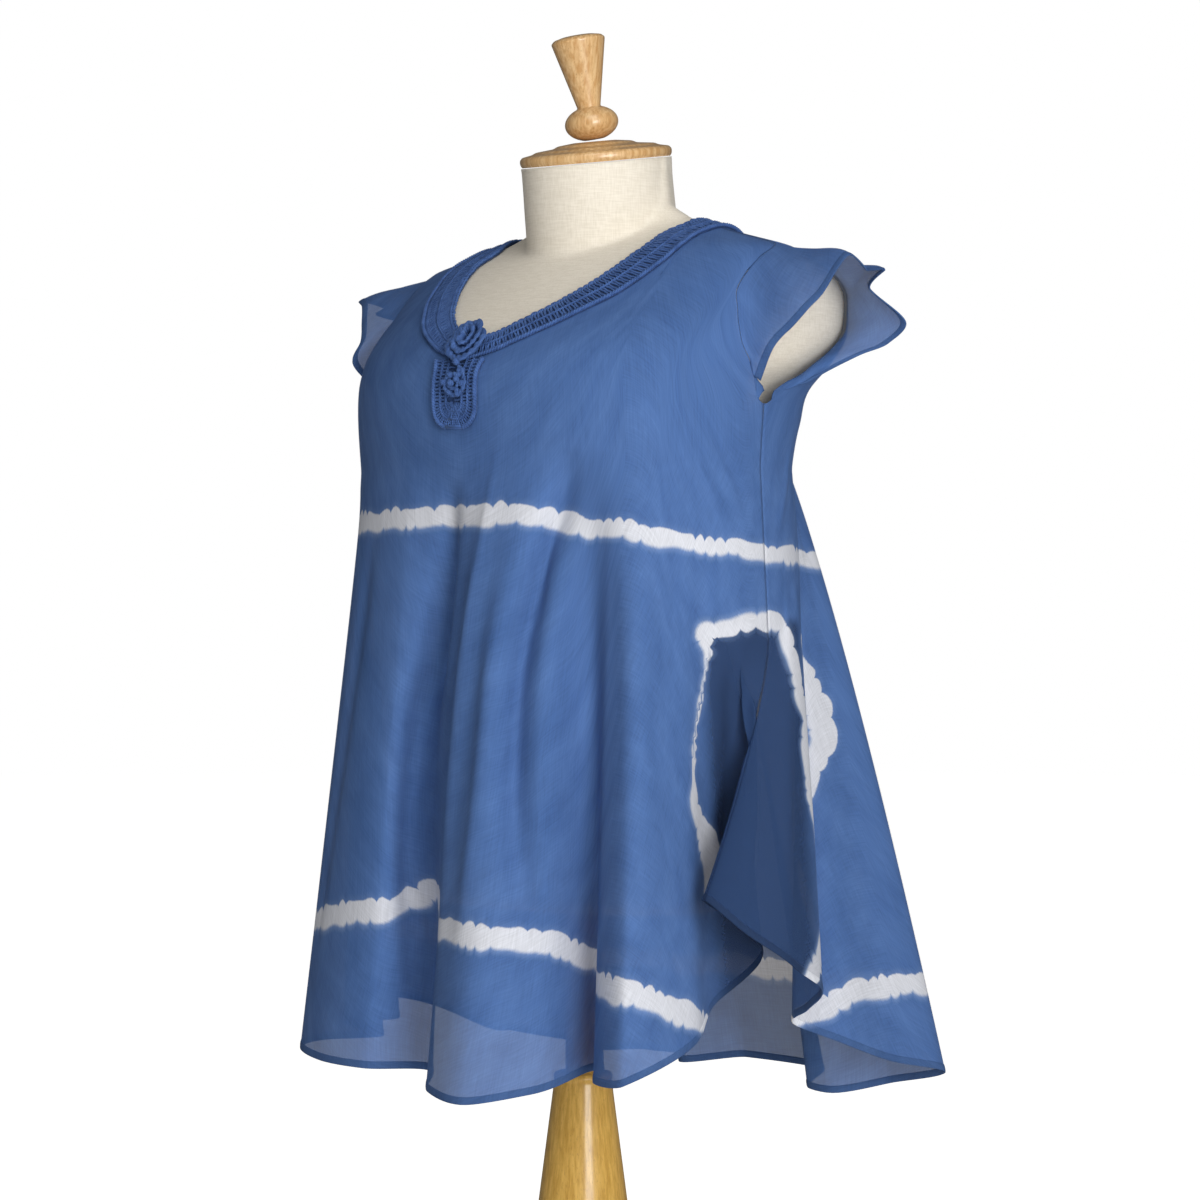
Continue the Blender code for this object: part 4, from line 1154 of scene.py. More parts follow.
def form_ring(turn, z):
    """The form's outline at a height: its body, or its neck where that reaches further."""
    fine = np.linspace(-180, 180, 1441)
    top = FORM_SECTIONS[-1][0]
    joins = NECK_CENTRE_Y + NECK_LEAN * (z - NECK_TOP)
    centre = joins * np.clip((z - 0.80) / 0.13, 0, 1)
    x, y = section_point(fine, form_size(min(z, top)))
    around = np.unwrap(np.arctan2(x, -(y - centre)))
    r = np.interp(turn, around, np.hypot(x, y - centre), period=2 * math.pi)
    if z >= 0.93:
        near = np.abs(r - NECK_RADIUS)
        soft = NECK_BLEND * (1 - np.clip((z - top) / (NECK_TOP - top), 0, 1))
        r = np.maximum(r, NECK_RADIUS) + 0.5 * (np.sqrt(near**2 + soft**2) - near)
    return settled(np.stack([r * np.sin(turn), centre - r * np.cos(turn), np.full_like(r, z)], -1))


def form_shape():
    """Rings of the linen form from its foot to its neck, and its surface for cloth to lie on."""
    turn = np.linspace(-math.pi, math.pi, 160, endpoint=False)
    levels = [FORM_FOOT_Z, 0.4315, 0.434, 0.4375]
    levels += [*np.linspace(0.445, 0.93, 64), *np.linspace(0.9325, 1.0135, 40), NECK_TOP]
    rings = np.array([form_ring(turn, z) for z in levels])
    rings[-1, :, 2] = CAP_BASE_Z - CAP_LEAN[0] * rings[-1, :, 0]
    rings[-1, :, 2] -= CAP_LEAN[1] * (rings[-1, :, 1] - NECK_CENTRE_Y) + 2 * SEAM_GAP
    points, faces = rings.reshape(-1, 3), ring_faces(len(levels), len(turn))
    return points, faces, BVHTree.FromPolygons(points.tolist(), faces)


def lathe(profile, sides=128):
    """Points and faces of a turned solid from (radius, height) points, top to bottom."""
    turn = np.linspace(0, 2 * math.pi, sides, endpoint=False)
    rows = np.array(profile)
    points = np.stack(
        [
            rows[:, :1] * np.sin(turn),
            -rows[:, :1] * np.cos(turn),
            np.repeat(rows[:, 1:2], sides, 1),
        ],
        -1,
    )
    faces = [face[::-1] for face in ring_faces(len(rows), sides)]
    return points.reshape(-1, 3), faces


def rounded(profile, radius):
    """The profile with each of its inner corners turned round on a small radius."""
    rows = [np.array(p, float) for p in profile]
    made = [rows[0]]
    for before, here, after in zip(rows, rows[1:], rows[2:]):
        back, on = before - here, after - here
        reach = min(radius, 0.45 * np.linalg.norm(back), 0.45 * np.linalg.norm(on))
        start = here + back / np.linalg.norm(back) * reach
        end = here + on / np.linalg.norm(on) * reach
        for s in np.linspace(0, 1, 7):
            made.append(start * (1 - s) ** 2 + 2 * here * s * (1 - s) + end * s**2)
    made.append(rows[-1])
    return made


def leaning(points, lean, foot):
    """Stands a turned piece at its foot with its axis leaning by (x, y) a metre of height."""
    up = Vector((lean[0], lean[1], 1.0)).normalized()
    turn = Vector((0, 0, 1)).rotation_difference(up).to_matrix().to_4x4()
    stand = np.array(Matrix.Translation(foot) @ turn)
    return points @ stand[:3, :3].T + stand[:3, 3]


# ---------------------------------------------------------------- panels and sleeves


def cleared(points, normals, inside, rows=slice(None)):
    """Moves rows of a grid out along their normals until the cloth's inside clears the form."""
    tree = kept("form", form_shape)[2]
    points = points.copy()
    for _ in range(3):
        inner = (points[rows] - normals[rows] * inside).reshape(-1, 3)
        short = np.clip(FORM_CLEARANCE - off_surface(tree, inner), 0, None)
        points[rows] += normals[rows] * short.reshape(points[rows].shape[:2])[..., None]
    return points


def rested_on_form(points):
    """Points lifted off the form, square to it, to where the outside of cloth lies."""
    tree = kept("form", form_shape)[2]
    made = []
    for point in points:
        on, facing, _, _ = tree.find_nearest(Vector(point))
        away = max((Vector(point) - on).dot(facing), FORM_CLEARANCE + CLOTH_THICK * 1.4)
        made.append(on + facing * away)
    return np.array(made)


def panel_normals(points, bodice):
    """The panel's outward directions. Under the arm, where the rows above the waist close up, they
    are those of the first row of the skirt."""
    normals = grid_normals(points)
    short = np.clip(1 - (points[0, :, 2] - UNDERARM_Z) / 0.02, 0, 1)[None, :, None]
    normals[:bodice] = normals[:bodice] * (1 - short) + normals[bodice] * short
    return normals / np.linalg.norm(normals, axis=-1, keepdims=True)


PANELS = {
    # middle thread, top edge, threads of the shoulder seam's ends
    "front": (0, FRONT_TOP, FRONT_CORNERS),
    "back": (180, BACK_TOP, BACK_CORNERS),
}


def panel_shape(side):
    """Threads, points, normals and notes of the front or the back, from its top edge to its hem."""
    gap = math.degrees(SEAM_GAP / 2 / SEAM_RADIUS)
    middle, table, ends = PANELS[side]
    corners = [middle + hand * (end - middle) for end in ends for hand in (1, -1)]
    threads = np.linspace(middle - SIDE_SEAM + gap, middle + SIDE_SEAM - gap, PANEL_THREADS)
    threads = [t for t in threads if min(abs(t - c) for c in corners) > 0.35]
    threads = np.array(sorted(threads + corners))
    wrapped = np.where(threads > 180, threads - 360, threads)
    rises = (1 - np.linspace(0, 1, BODICE_ROWS) ** 1.4)[:-1]
    rows = [bodice_row(wrapped, rise, table) for rise in rises]
    rows += [skirt_row(threads, drop) for drop in np.linspace(0, 1, SKIRT_ROWS)]
    points = np.array(rows)
    normals = panel_normals(points, len(rises))
    places = np.broadcast_to(threads, points.shape[:2])
    plain = points
    points = points + normals * crease_heights(side, points, places)[..., None]
    normals = panel_normals(points, len(rises))
    hand = np.abs(wrapped)
    seam = (hand > min(ends) - 0.01) & (hand < max(ends) + 0.01)
    shoulder = points[0, seam]
    points = cleared(points, normals, CLOTH_THICK, ROWS_NEAR_FORM)
    points[0, seam] = rested_on_form(shoulder)
    normals = panel_normals(points, len(rises))
    notes = dye_notes(side, plain, (places, plain[..., 2]))
    # Painted shade inside the arches, for the deep valleys there.
    notes["dye_deep"] = arch_shade_share(places, plain[..., 2]).ravel()
    notes["cloth_mm"] = cloth_mm(points)
    return threads, points, normals, notes


def arch_shade_share(threads, heights):
    """How much painted shade darkens the blue inside the arch stitched round each side seam, 0 to
    1.
    """
    from_side = np.abs((threads + 180) % 360 - 180)
    made = 1.0
    inside = (from_side - ARCH_FRONT[0], ARCH_BACK[0] - from_side, ARCH_TOP[0] - heights)
    for reach, (_, span) in zip(inside, (ARCH_FRONT, ARCH_BACK, ARCH_TOP)):
        share = np.clip(reach / span, 0, 1)
        made = made * share**2 * (3 - 2 * share)
    return made


def cloth_mm(points):
    """Each point's place on the flat cloth in mm: across from the middle column and down."""
    middle = points.shape[1] // 2
    across = np.linalg.norm(np.diff(points, axis=1), axis=-1)
    across = np.concatenate([np.zeros((len(points), 1)), np.cumsum(across, 1)], 1)
    across -= across[:, middle : middle + 1]
    down = np.linalg.norm(np.diff(points, axis=0), axis=-1)
    down = np.concatenate([np.zeros((1, points.shape[1])), np.cumsum(down, 0)])
    flat = np.stack([across, down, np.zeros_like(down)], -1) * 1000
    return flat.reshape(-1, 3)


def doubled_notes(notes):
    """The notes of a wall's outer points, said again for its inner ones."""
    return {name: np.concatenate([values, values]) for name, values in notes.items()}


def edge_strip(grid, normals, notes, width):
    """A narrow hem that wraps a panel's free edge: its outer and inner points and their notes."""
    shape = grid.shape[:2]
    values = [grid, normals] + [np.asarray(v).reshape(shape + (-1,)) for v in notes.values()]
    values = [v[::-1][:HEM_ROWS] for v in values]
    step = np.linalg.norm(np.diff(values[0], axis=0), axis=-1)
    length = np.concatenate([np.zeros((1, step.shape[1])), np.cumsum(step, 0)])
    wanted = width * np.array([0.0, 0.04, 0.14, 0.3, 0.5, 0.7, 0.86, 0.96, 1.0])
    read = [np.empty((len(wanted),) + v.shape[1:]) for v in values]
    for c in range(step.shape[1]):
        i = np.clip(np.searchsorted(length[:, c], wanted, side="right") - 1, 0, HEM_ROWS - 2)
        s = (wanted - length[i, c]) / (length[i + 1, c] - length[i, c])
        for v, r in zip(values, read):
            r[:, c] = v[i, c] + (v[i + 1, c] - v[i, c]) * s[:, None]
    middle, facing = read[:2]
    share = wanted / width
    out = (0.00016 + HEM_SWELL * np.sqrt(np.clip(np.sin(math.pi * share), 0, 1)))[:, None, None]
    beyond = middle[0] - middle[2]
    beyond /= np.maximum(np.linalg.norm(beyond, axis=-1, keepdims=True), 1e-9)
    middle[0] += beyond * 0.0003
    outer = (middle + facing * out)[::-1]
    inner = (middle - facing * (CLOTH_THICK + out))[::-1]
    read = [r[::-1] for r in read]
    kept_notes = {name: r.reshape(-1, r.shape[-1]).squeeze() for name, r in zip(notes, read[2:])}
    return outer, inner, kept_notes


def add_cloth(name, outer, inner, notes, finish, slot="blue_cotton_voile", closed=False):
    """A thin wall of cloth between two grids of points."""
    points = np.concatenate([outer.reshape(-1, 3), inner.reshape(-1, 3)])
    faces = shell_faces(*outer.shape[:2], closed=closed)
    return add_piece(name, points, faces, finish, doubled_notes(notes))


# Pressed and hanging creases: height (mm, less than zero is a trough), half width (mm), and the
# thread and height of points along each.
CREASES = {
    "front": (
        (
            1.1,
            2.4,
            (
                (9.5, 0.805), (8.0, 0.755), (7.0, 0.705), (5.5, 0.649), (4.5, 0.589),
                (4.5, 0.51),
            ),
        ),
        (
            4.5,
            11.0,
            (
                (9.0, 0.780), (7.0, 0.705), (5.8, 0.649), (5.0, 0.589), (4.5, 0.50), (5.0, 0.40),
            ),
        ),
        (
            -20.0,
            11.5,
            (
                (-2.0, 0.77), (-4.0, 0.70), (-6.5, 0.636), (-9.5, 0.587), (-10.5, 0.51),
                (-9.0, 0.40), (-8, 0.33),
            ),
        ),
        (
            -18.0,
            11.5,
            (
                (29.0, 0.790), (25.5, 0.745), (21.0, 0.700), (18.0, 0.64), (17.5, 0.59),
                (18.5, 0.50), (22, 0.40),
            ),
        ),
        (4.0, 9.0, ((13.5, 0.70), (12.5, 0.62), (12.5, 0.55), (12.0, 0.48), (11.0, 0.40))),
        (
            3.0,
            14.0,
            (
                (41.5, 0.780), (44.0, 0.72), (47.5, 0.66), (49.5, 0.58), (51.0, 0.50),
                (52.0, 0.42),
            ),
        ),
        (-3.0, 10.0, ((-30.0, 0.74), (-31.0, 0.66), (-33.0, 0.56), (-35.0, 0.46), (-36.0, 0.36))),
        (-5.0, 12.0, ((-56.0, 0.74), (-57.0, 0.64), (-56.0, 0.52), (-54.0, 0.42), (-55, 0.36))),
        (3.0, 9.0, ((-65.0, 0.72), (-66.0, 0.62), (-65.0, 0.52), (-63.0, 0.44))),
        (
            -11.0,
            13.0,
            (
                (85.0, 0.640), (81.0, 0.613), (77.0, 0.583), (73.5, 0.554), (72.0, 0.522),
                (70.5, 0.486), (69.5, 0.45),
            ),
        ),
        (1.4, 5.0, ((62.0, 0.800), (66.0, 0.775), (72.0, 0.748), (78.0, 0.72))),
        (-1.2, 4.0, ((70.0, 0.815), (74.0, 0.790), (80.0, 0.765), (84.0, 0.735))),
        (1.2, 4.0, ((-66.0, 0.805), (-70.0, 0.780), (-77.0, 0.752), (-82.0, 0.73))),
    ),
    "back": (
        (-6.0, 12.0, ((212.0, 0.76), (214.0, 0.66), (216.0, 0.55), (215.0, 0.45), (214.0, 0.34))),
        (4.0, 10.0, ((203.0, 0.74), (204.0, 0.64), (205.0, 0.52), (205.0, 0.40))),
        (-5.0, 11.0, ((167.0, 0.77), (166.0, 0.68), (165.0, 0.57), (164.0, 0.45), (163.0, 0.33))),
        (3.5, 9.0, ((176.0, 0.76), (177.0, 0.66), (178.0, 0.54), (178.0, 0.42))),
        (-4.5, 10.0, ((241.0, 0.74), (243.0, 0.64), (244.0, 0.54), (246.0, 0.44), (247, 0.39))),
        (1.3, 4.5, ((110.0, 0.800), (105.0, 0.770), (99.0, 0.742), (95.0, 0.72))),
        (1.2, 4.0, ((252.0, 0.805), (256.0, 0.775), (261.0, 0.748), (264.0, 0.73))),
        (1.0, 2.6, ((188.0, 0.80), (189.0, 0.74), (190.5, 0.67), (191.5, 0.60), (192.0, 0.54))),
    ),
}


def crease_heights(side, points, places):
    """How far each point of a panel stands out for its creases."""
    flat, threads = points.reshape(-1, 3), places.ravel()
    raised = np.zeros(len(flat))
    for height, width, line in CREASES[side]:
        rows = np.array(line)
        order = np.linspace(0, 1, len(rows))
        fine = np.linspace(0, 1, 240)
        thread, z = smooth(fine, order, rows).T
        spots = panel_places(thread, z)
        reach = width * MM * 2.6
        near = np.all((flat > spots.min(0) - reach) & (flat < spots.max(0) + reach), axis=1)
        tree = tree_of(spots)
        for i in np.flatnonzero(near):
            _, k, far = tree.find(flat[i])
            if far < reach and abs(threads[i] - thread[k]) < NEAR_THREADS:
                ends = min(1.0, 4.0 * min(fine[k], 1 - fine[k]))
                raised[i] += height * MM * math.exp(-((far / (width * MM)) ** 2)) * ends
    return raised.reshape(points.shape[:2])


def eased(values, passes):
    """Directions along a line with their turns made gentle; the ends stay."""
    values = values.copy()
    for _ in range(passes):
        values[1:-1] = (values[:-2] + 2 * values[1:-1] + values[2:]) / 4
    return values / np.linalg.norm(values, axis=-1, keepdims=True)


def outward(grid, facing):
    """A grid's normals on the side that its first row faces."""
    normals = grid_normals(grid)
    return -normals if np.sum(normals[0] * facing) < 0 else normals


def sleeve_shape(hand, table):
    """Points and normals of a cap sleeve from its armhole to its free edge."""
    front_threads, front, front_normals, _ = kept("front", lambda: panel_shape("front"))
    back_threads, back, back_normals, _ = kept("back", lambda: panel_shape("back"))
    corner = FRONT_CORNERS[1] - 1e-6
    side = [k for k, thread in enumerate(front_threads) if thread * hand >= corner]
    rear = [k for k, thread in enumerate(back_threads) if (180 - thread) * hand >= corner]
    if hand > 0:
        side, rear = side[::-1], rear[::-1]
    edge = np.concatenate([front[0, side], back[0, rear]])
    facing = np.concatenate([front_normals[0, side], back_normals[0, rear]])
    top = len(side)
    start = np.interp(SLEEVE_FRONT_END, edge[:top, 2], np.arange(top))
    end = top + np.interp(-SLEEVE_BACK_END, -edge[top:, 2], np.arange(len(edge) - top))
    fine = np.linspace(0, 1, 2001)
    marks = start + (end - start) * fine
    read = read_along(marks, np.arange(len(edge)), edge)
    turn = read_along(marks, np.arange(len(edge)), facing)
    length = run_length(read)
    share = np.linspace(0, 1, 150)
    at = np.interp(share, length / length[-1], np.arange(len(fine)))
    begin = read_along(at, np.arange(len(fine)), read)
    normal = eased(read_along(at, np.arange(len(fine)), turn), 90)
    rows = np.array(table)
    free = smooth(share, rows[:, 0], rows[:, 1:])
    free[:, 0] *= hand
    leave = np.cross(np.gradient(begin, axis=0), normal) * hand
    leave = eased(leave / np.linalg.norm(leave, axis=-1, keepdims=True), 60)
    span = free - begin
    long = np.linalg.norm(span, axis=-1, keepdims=True)
    arrive = span / long * 0.9 + np.array([0.0, 0.0, -0.35])
    begin = begin + leave * SEAM_GAP
    grid = []
    for s in np.linspace(0, 1, 44):
        a, b, c, d = cubic(s)
        grid.append(a * begin + b * long * leave + c * free + d * long * arrive)
    grid = np.array(grid)
    normals = outward(grid, normal)
    grid = cleared(grid, normals, CLOTH_THICK, slice(1, None))
    normals = outward(grid, normal)
    if hand < 0:
        grid, normals = grid[:, ::-1], normals[:, ::-1]
    return grid, normals


# ---------------------------------------------------------------- crochet

# A thickness in the tables below is a share of the yarn's.

BAND_INSIDE = 0.0013
BAND_OUTSIDE = 0.0009


def polyline_at(points, values, share):
    """Points of a line and their values at shares of its length."""
    length = run_length(points)
    at = np.asarray(share) * length[-1]
    return read_along(at, length, points), np.interp(at, length, values)


def band_shape():
    """Points and normals of the neck band from its picot edge to the panels, all round the neck."""
    front_threads, front = kept("front", lambda: panel_shape("front"))[:2]
    back_threads, back = kept("back", lambda: panel_shape("back"))[:2]
    first = np.array([(o[0], *r[1:], *o[1:]) for r, o in zip(FRONT_NECKLINE, FRONT_TOP)])
    second = np.array([(o[0], *r[1:], *o[1:]) for r, o in zip(BACK_NECKLINE, BACK_TOP)])
    second = second[::-1].copy()
    front_end, back_end = FRONT_CORNERS[0], BACK_CORNERS[0]
    second[:, 0] += front_end - back_end
    half = np.concatenate([first[:-1], second])
    grids = []
    columns, rows = 520, 11
    for hand in (1, -1):
        side = [k for k, t in enumerate(front_threads) if -1e-6 <= t * hand <= front_end + 1e-6]
        rear = [
            k
            for k, t in enumerate(back_threads)
            if back_end - 1e-6 <= 180 + (t - 180) * hand <= 180 + 1e-6
        ]
        if hand < 0:
            side, rear = side[::-1], rear[::-1]
        points = np.array([front[0, k] for k in side] + [back[0, k] for k in rear])
        place = [abs(front_threads[k]) for k in side]
        place += [front_end + 180 - back_end - abs(back_threads[k] - 180) for k in rear]
        share = (np.arange(columns) + (0 if hand > 0 else 1)) / columns
        edge, at = polyline_at(points, place, share)
        inner_share, inner_z, outer_share, outer_z = [
            smooth(at, half[:, 0], half[:, k]) for k in range(1, 5)
        ]
        inner_x = inner_share * cloth_size(inner_z)[0]
        outer_x = outer_share * cloth_size(outer_z)[0]
        behind = at > front_end
        grid = []
        for s in np.linspace(0, 1, rows):
            x, z = inner_x + (outer_x - inner_x) * s, inner_z + (outer_z - inner_z) * s
            angle = np.where(behind, angle_at(hand * x, z, True), angle_at(hand * x, z, False))
            grid.append(body_point(angle, z))
        grid = np.array(grid)
        grid += (edge - grid[-1])[None] * (np.linspace(0, 1, rows) ** 2)[:, None, None]
        grids.append(grid[:, ::hand])
    grid = np.concatenate(grids, axis=1)
    normals = grid_normals(grid, closed=True)
    grid = cleared(grid, normals, BAND_INSIDE)
    return grid, grid_normals(grid, closed=True)


def on_band(u, s, out):
    """Points above the band: u is the share of the way round, s runs from the picot edge (0) to the
    dress (1), and out is the distance off it."""
    grid, normals = kept("band", band_shape)
    rows, columns = grid.shape[:2]
    u, s, out = np.broadcast_arrays(np.asarray(u) % 1, s, out)
    across = u * columns
    i = np.floor(across).astype(int)
    fx = (across - i)[..., None]
    down = s * (rows - 1)
    j = np.clip(np.floor(down).astype(int), 0, rows - 2)
    fy = (down - j)[..., None]
    i, k = i % columns, (i + 1) % columns
    found = []
    for field in (grid, normals):
        near = field[j, i] * (1 - fx) + field[j, k] * fx
        far = field[j + 1, i] * (1 - fx) + field[j + 1, k] * fx
        found.append(near * (1 - fy) + far * fy)
    points, facing = found
    return points + facing * out[..., None], facing


def rested(points, radius):
    """Moves points of yarn out of the form until a strand of that radius clears it."""
    tree = kept("form", form_shape)[2]
    flat = points.reshape(-1, 3).copy()
    for k, point in enumerate(flat):
        near, facing, _, _ = tree.find_nearest(Vector(point))
        away = (Vector(point) - near).dot(facing)
        if away < radius + 0.0003:
            flat[k] += np.array(facing) * (radius + 0.0003 - away)
    return flat.reshape(points.shape)


def facing_at(points):
    """The dress's outward direction near points of its front."""
    x, z = points[..., 0], points[..., 2]
    angle = angle_at(x, z, False)
    along = body_point(angle + 0.4, z) - body_point(angle - 0.4, z)
    up = body_point(angle, z + 0.0006) - body_point(angle, z - 0.0006)
    facing = np.cross(along, up)
    return facing / np.linalg.norm(facing, axis=-1, keepdims=True)


def spot(x, z, out):
    """A point x from the centre front at a height, moved out from the plain front of the dress."""
    x, z = np.broadcast_arrays(np.asarray(x, float), np.asarray(z, float))
    facing = facing_at(np.stack([x, x, z], -1))
    return body_point(angle_at(x, z, False), z) + facing * np.asarray(out)[..., None]


# ---------------------------------------------------------------- sizes and colours to change


def colour(name, description, default):
    """A colour to change, with its default as an sRGB hex value."""
    return FloatVectorProperty(
        name=name,
        description=description,
        subtype="COLOR",
        size=3,
        min=0,
        max=1,
        default=linear(default),
    )


class VoileLooks(bpy.types.PropertyGroup):
    """The cloth of the dress."""

    deep: colour("Deep blue", "Dye where the clouds in it are darkest", "#40629B")
    light: colour("Light blue", "Dye where the clouds in it are palest", "#5B7FBA")
    halo: colour("Halo", "Half dyed cloth beside a white line", "#8AA6D2")
    undyed: colour("Undyed", "Cloth that the stitching kept from the dye", "#DFE1E8")
    see_through: FloatProperty(
        name="See through",
        description="Share of light that passes one face of the voile between its yarns",
        subtype="FACTOR",
        min=0,
        max=0.6,
        default=0.25,
    )
    hem_width: FloatProperty(
        name="Hem width",
        description="Width of the narrow rolled hems",
        subtype="DISTANCE",
        unit="LENGTH",
        min=0.003,
        max=0.012,
        default=HEM_WIDTH,
    )


class CrochetLooks(bpy.types.PropertyGroup):
    """The yarn of the band, the tab and the roses."""

    deep: colour("Deep blue", "Yarn in the hollows of a stitch", "#2E4A7E")
    light: colour("Light blue", "Yarn on the crown of a stitch", "#4C6DA9")
    yarn: FloatProperty(
        name="Yarn",
        description="Thickness of the crochet yarn",
        subtype="DISTANCE",
        unit="LENGTH",
        min=0.001,
        max=0.003,
        default=0.0021,
    )
    stitch: FloatProperty(
        name="Stitch",
        description="Distance from one post of the neck band to the next",
        subtype="DISTANCE",
        unit="LENGTH",
        min=0.002,
        max=0.005,
        default=0.0027,
    )


class StandLooks(bpy.types.PropertyGroup):
    """The linen and the wood of the dress form."""

    linen_deep: colour("Linen shade", "The darker yarns of the form's linen", "#E0D7C6")
    linen_light: colour("Linen", "The paler yarns of the form's linen", "#EDE5D6")
    beech_deep: colour("Beech grain", "The dark lines of grain in the cap and finial", "#C9995F")
    beech_light: colour("Beech", "The pale wood between them", "#E3BE8A")
    beech_fleck: colour("Beech fleck", "The short flecks across the grain", "#A5743C")
    honey_deep: colour("Honey grain", "The dark lines of the grain of the stem and base", "#CB9C44")
    honey_light: colour("Honey beech", "The pale wood between them, under older varnish", "#E6B95E")


class StageLooks(bpy.types.PropertyGroup):
    """The floor, the lamps and the camera."""

    floor: colour("Floor", "The plain floor and what stands behind", "#F7F6F4")
    room: FloatProperty(
        name="Room light", description="Light from all round", min=0, max=3, default=0.10
    )
    key: FloatProperty(
        name="Key lamp",
        description="Power of the large lamp at the picture's right",
        subtype="POWER",
        unit="POWER",
        min=0,
        default=44,
    )
    fill: FloatProperty(
        name="Fill lamp",
        description="Power of the large lamp at the picture's left",
        subtype="POWER",
        unit="POWER",
        min=0,
        default=5,
    )
    top: FloatProperty(
        name="Top lamp",
        description="Power of the large lamp above the dress",
        subtype="POWER",
        unit="POWER",
        min=0,
        default=16,
    )
    lens: FloatProperty(
        name="Lens",
        description="Focal length of the camera on a 36 mm frame",
        subtype="DISTANCE_CAMERA",
        unit="CAMERA",
        min=20,
        default=112.5,
    )


LOOKS = {"voile": VoileLooks, "crochet": CrochetLooks, "stand": StandLooks, "stage": StageLooks}


def looks(context, name):
    """One of the groups of sizes and colours to change."""
    return getattr(context.scene, "dress_" + name)


# ---------------------------------------------------------------- the pieces


class DRESS_OT_form(bpy.types.Operator):
    """Builds the linen dress form."""

    bl_idname = "dress.form"
    bl_label = "Linen form"

    def execute(self, context):
        points, faces, _ = kept("form", form_shape)
        stand = looks(context, "stand")
        made = add_piece("linen_form", points, faces, linen_material(stand))
        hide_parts("form_torso")
        return {"FINISHED"}


class DRESS_OT_wood(bpy.types.Operator):
    """Builds the turned beech: neck cap, finial, stem and base."""

    bl_idname = "dress.wood"
    bl_label = "Turned beech"

    def execute(self, context):
        stand = looks(context, "stand")
        fleck = stand.beech_fleck
        pale = beech_material("satin_varnished_beech", stand.beech_deep, stand.beech_light, fleck)
        honey = beech_material("honey_varnished_beech", stand.honey_deep, stand.honey_light, fleck)
        foot = Vector((0.0, NECK_CENTRE_Y, CAP_BASE_Z))
        # Each profile has the radius and the height of its points, from the top down.
        cap = [
            (0.0005, CAP_HEIGHT),
            (0.0165, CAP_HEIGHT),
            (0.0300, CAP_HEIGHT - 0.0016),
            (0.0335, CAP_HEIGHT - 0.0034),
            (0.0480, CAP_HEIGHT - 0.0050),
            (0.0510, CAP_HEIGHT - 0.0066),
            (CAP_RADIUS - 0.0020, CAP_HEIGHT - 0.0082),
            (CAP_RADIUS, 0.0060),
            (CAP_RADIUS, 0.0025),
            (CAP_RADIUS - 0.0015, 0.0),
        ]
        neck_z = BALL_HEIGHT - 0.0008
        top_z = neck_z + CONE_HEIGHT
        finial = [
            (0.0005, top_z + 0.0038),
            (0.0120, top_z + 0.0035),
            (0.0192, top_z + 0.0019),
            (0.0218, top_z - 0.0006),
            (0.0206, top_z - 0.0058),
            (0.0094, neck_z),
        ]
        finial += [
            (
                BALL_RADIUS * math.cos(math.radians(a)),
                BALL_HEIGHT / 2 * (1 + math.sin(math.radians(a))),
            )
            for a in np.linspace(62, -68, 40)
        ]
        foot_z = BASE_HEIGHT + SEAM_GAP
        stem = [
            (PIN_RADIUS, FORM_FOOT_Z - SEAM_GAP),
            (PIN_RADIUS, COLLAR_TOP_Z),
            (COLLAR_RADIUS - 0.002, COLLAR_TOP_Z),
            (COLLAR_RADIUS, COLLAR_TOP_Z - COLLAR_HEIGHT / 2),
            (COLLAR_RADIUS - 0.001, COLLAR_TOP_Z - COLLAR_HEIGHT),
            (STEM_FOOT_RADIUS - 0.006, foot_z + 0.012),
            (STEM_FOOT_RADIUS, foot_z + 0.006),
            (STEM_FOOT_RADIUS, foot_z),
        ]
        base = [
            (BASE_RADIUS - 0.010, BASE_HEIGHT),
            (BASE_RADIUS - 0.004, BASE_HEIGHT - 0.002),
            (BASE_RADIUS, BASE_HEIGHT - 0.008),
            (BASE_RADIUS, 0.004),
            (BASE_RADIUS - 0.003, 0.0),
        ]
        up = Vector((*CAP_LEAN, 1.0)).normalized()
        seat = foot + up * (CAP_HEIGHT + SEAM_GAP + 0.0004)
        for name, profile, corner, lean, at, cad, wood in (
            ("beech_neck_cap", cap, 0.0016, CAP_LEAN, foot, "neck_cap", pale),
            ("beech_finial", finial, 0.0012, FINIAL_LEAN, seat, "finial", pale),
            ("beech_stem", stem, 0.0020, (0, 0), Vector((0, 0, 0)), "pedestal", honey),
            ("beech_base", base, 0.0030, (0, 0), Vector((0, 0, 0)), "base_disc", honey),
        ):
            points, faces = lathe(rounded(profile, corner))
            points = leaning(points, lean, at)
            made = add_piece(name, points, faces, wood)
            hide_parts(cad)
        return {"FINISHED"}


TAB_WIDTH = 0.045
TAB_HEIGHT = 0.051
TAB_CENTRE = -0.004
TAB_FLARE = 0.003
TAB_WALL = 0.0020


def tab_spot(across, down, out):
    """Points above the tab: across runs from -1 to 1 and down from 0 at the neck to 1."""
    across, down = np.broadcast_arrays(np.asarray(across, float), np.asarray(down, float))
    low = np.clip((down - 0.60) / 0.40, 0, 0.975)
    x = TAB_CENTRE + TAB_WIDTH / 2 * (1 - low**2.6) ** (1 / 2.6) * across
    x = x + TAB_FLARE * np.clip(1 - down / 0.25, 0, 1) ** 2 * across
    z = FRONT_TOP[0][2] - 2 * SEAM_GAP - TAB_HEIGHT * down
    return spot(x, z, out)


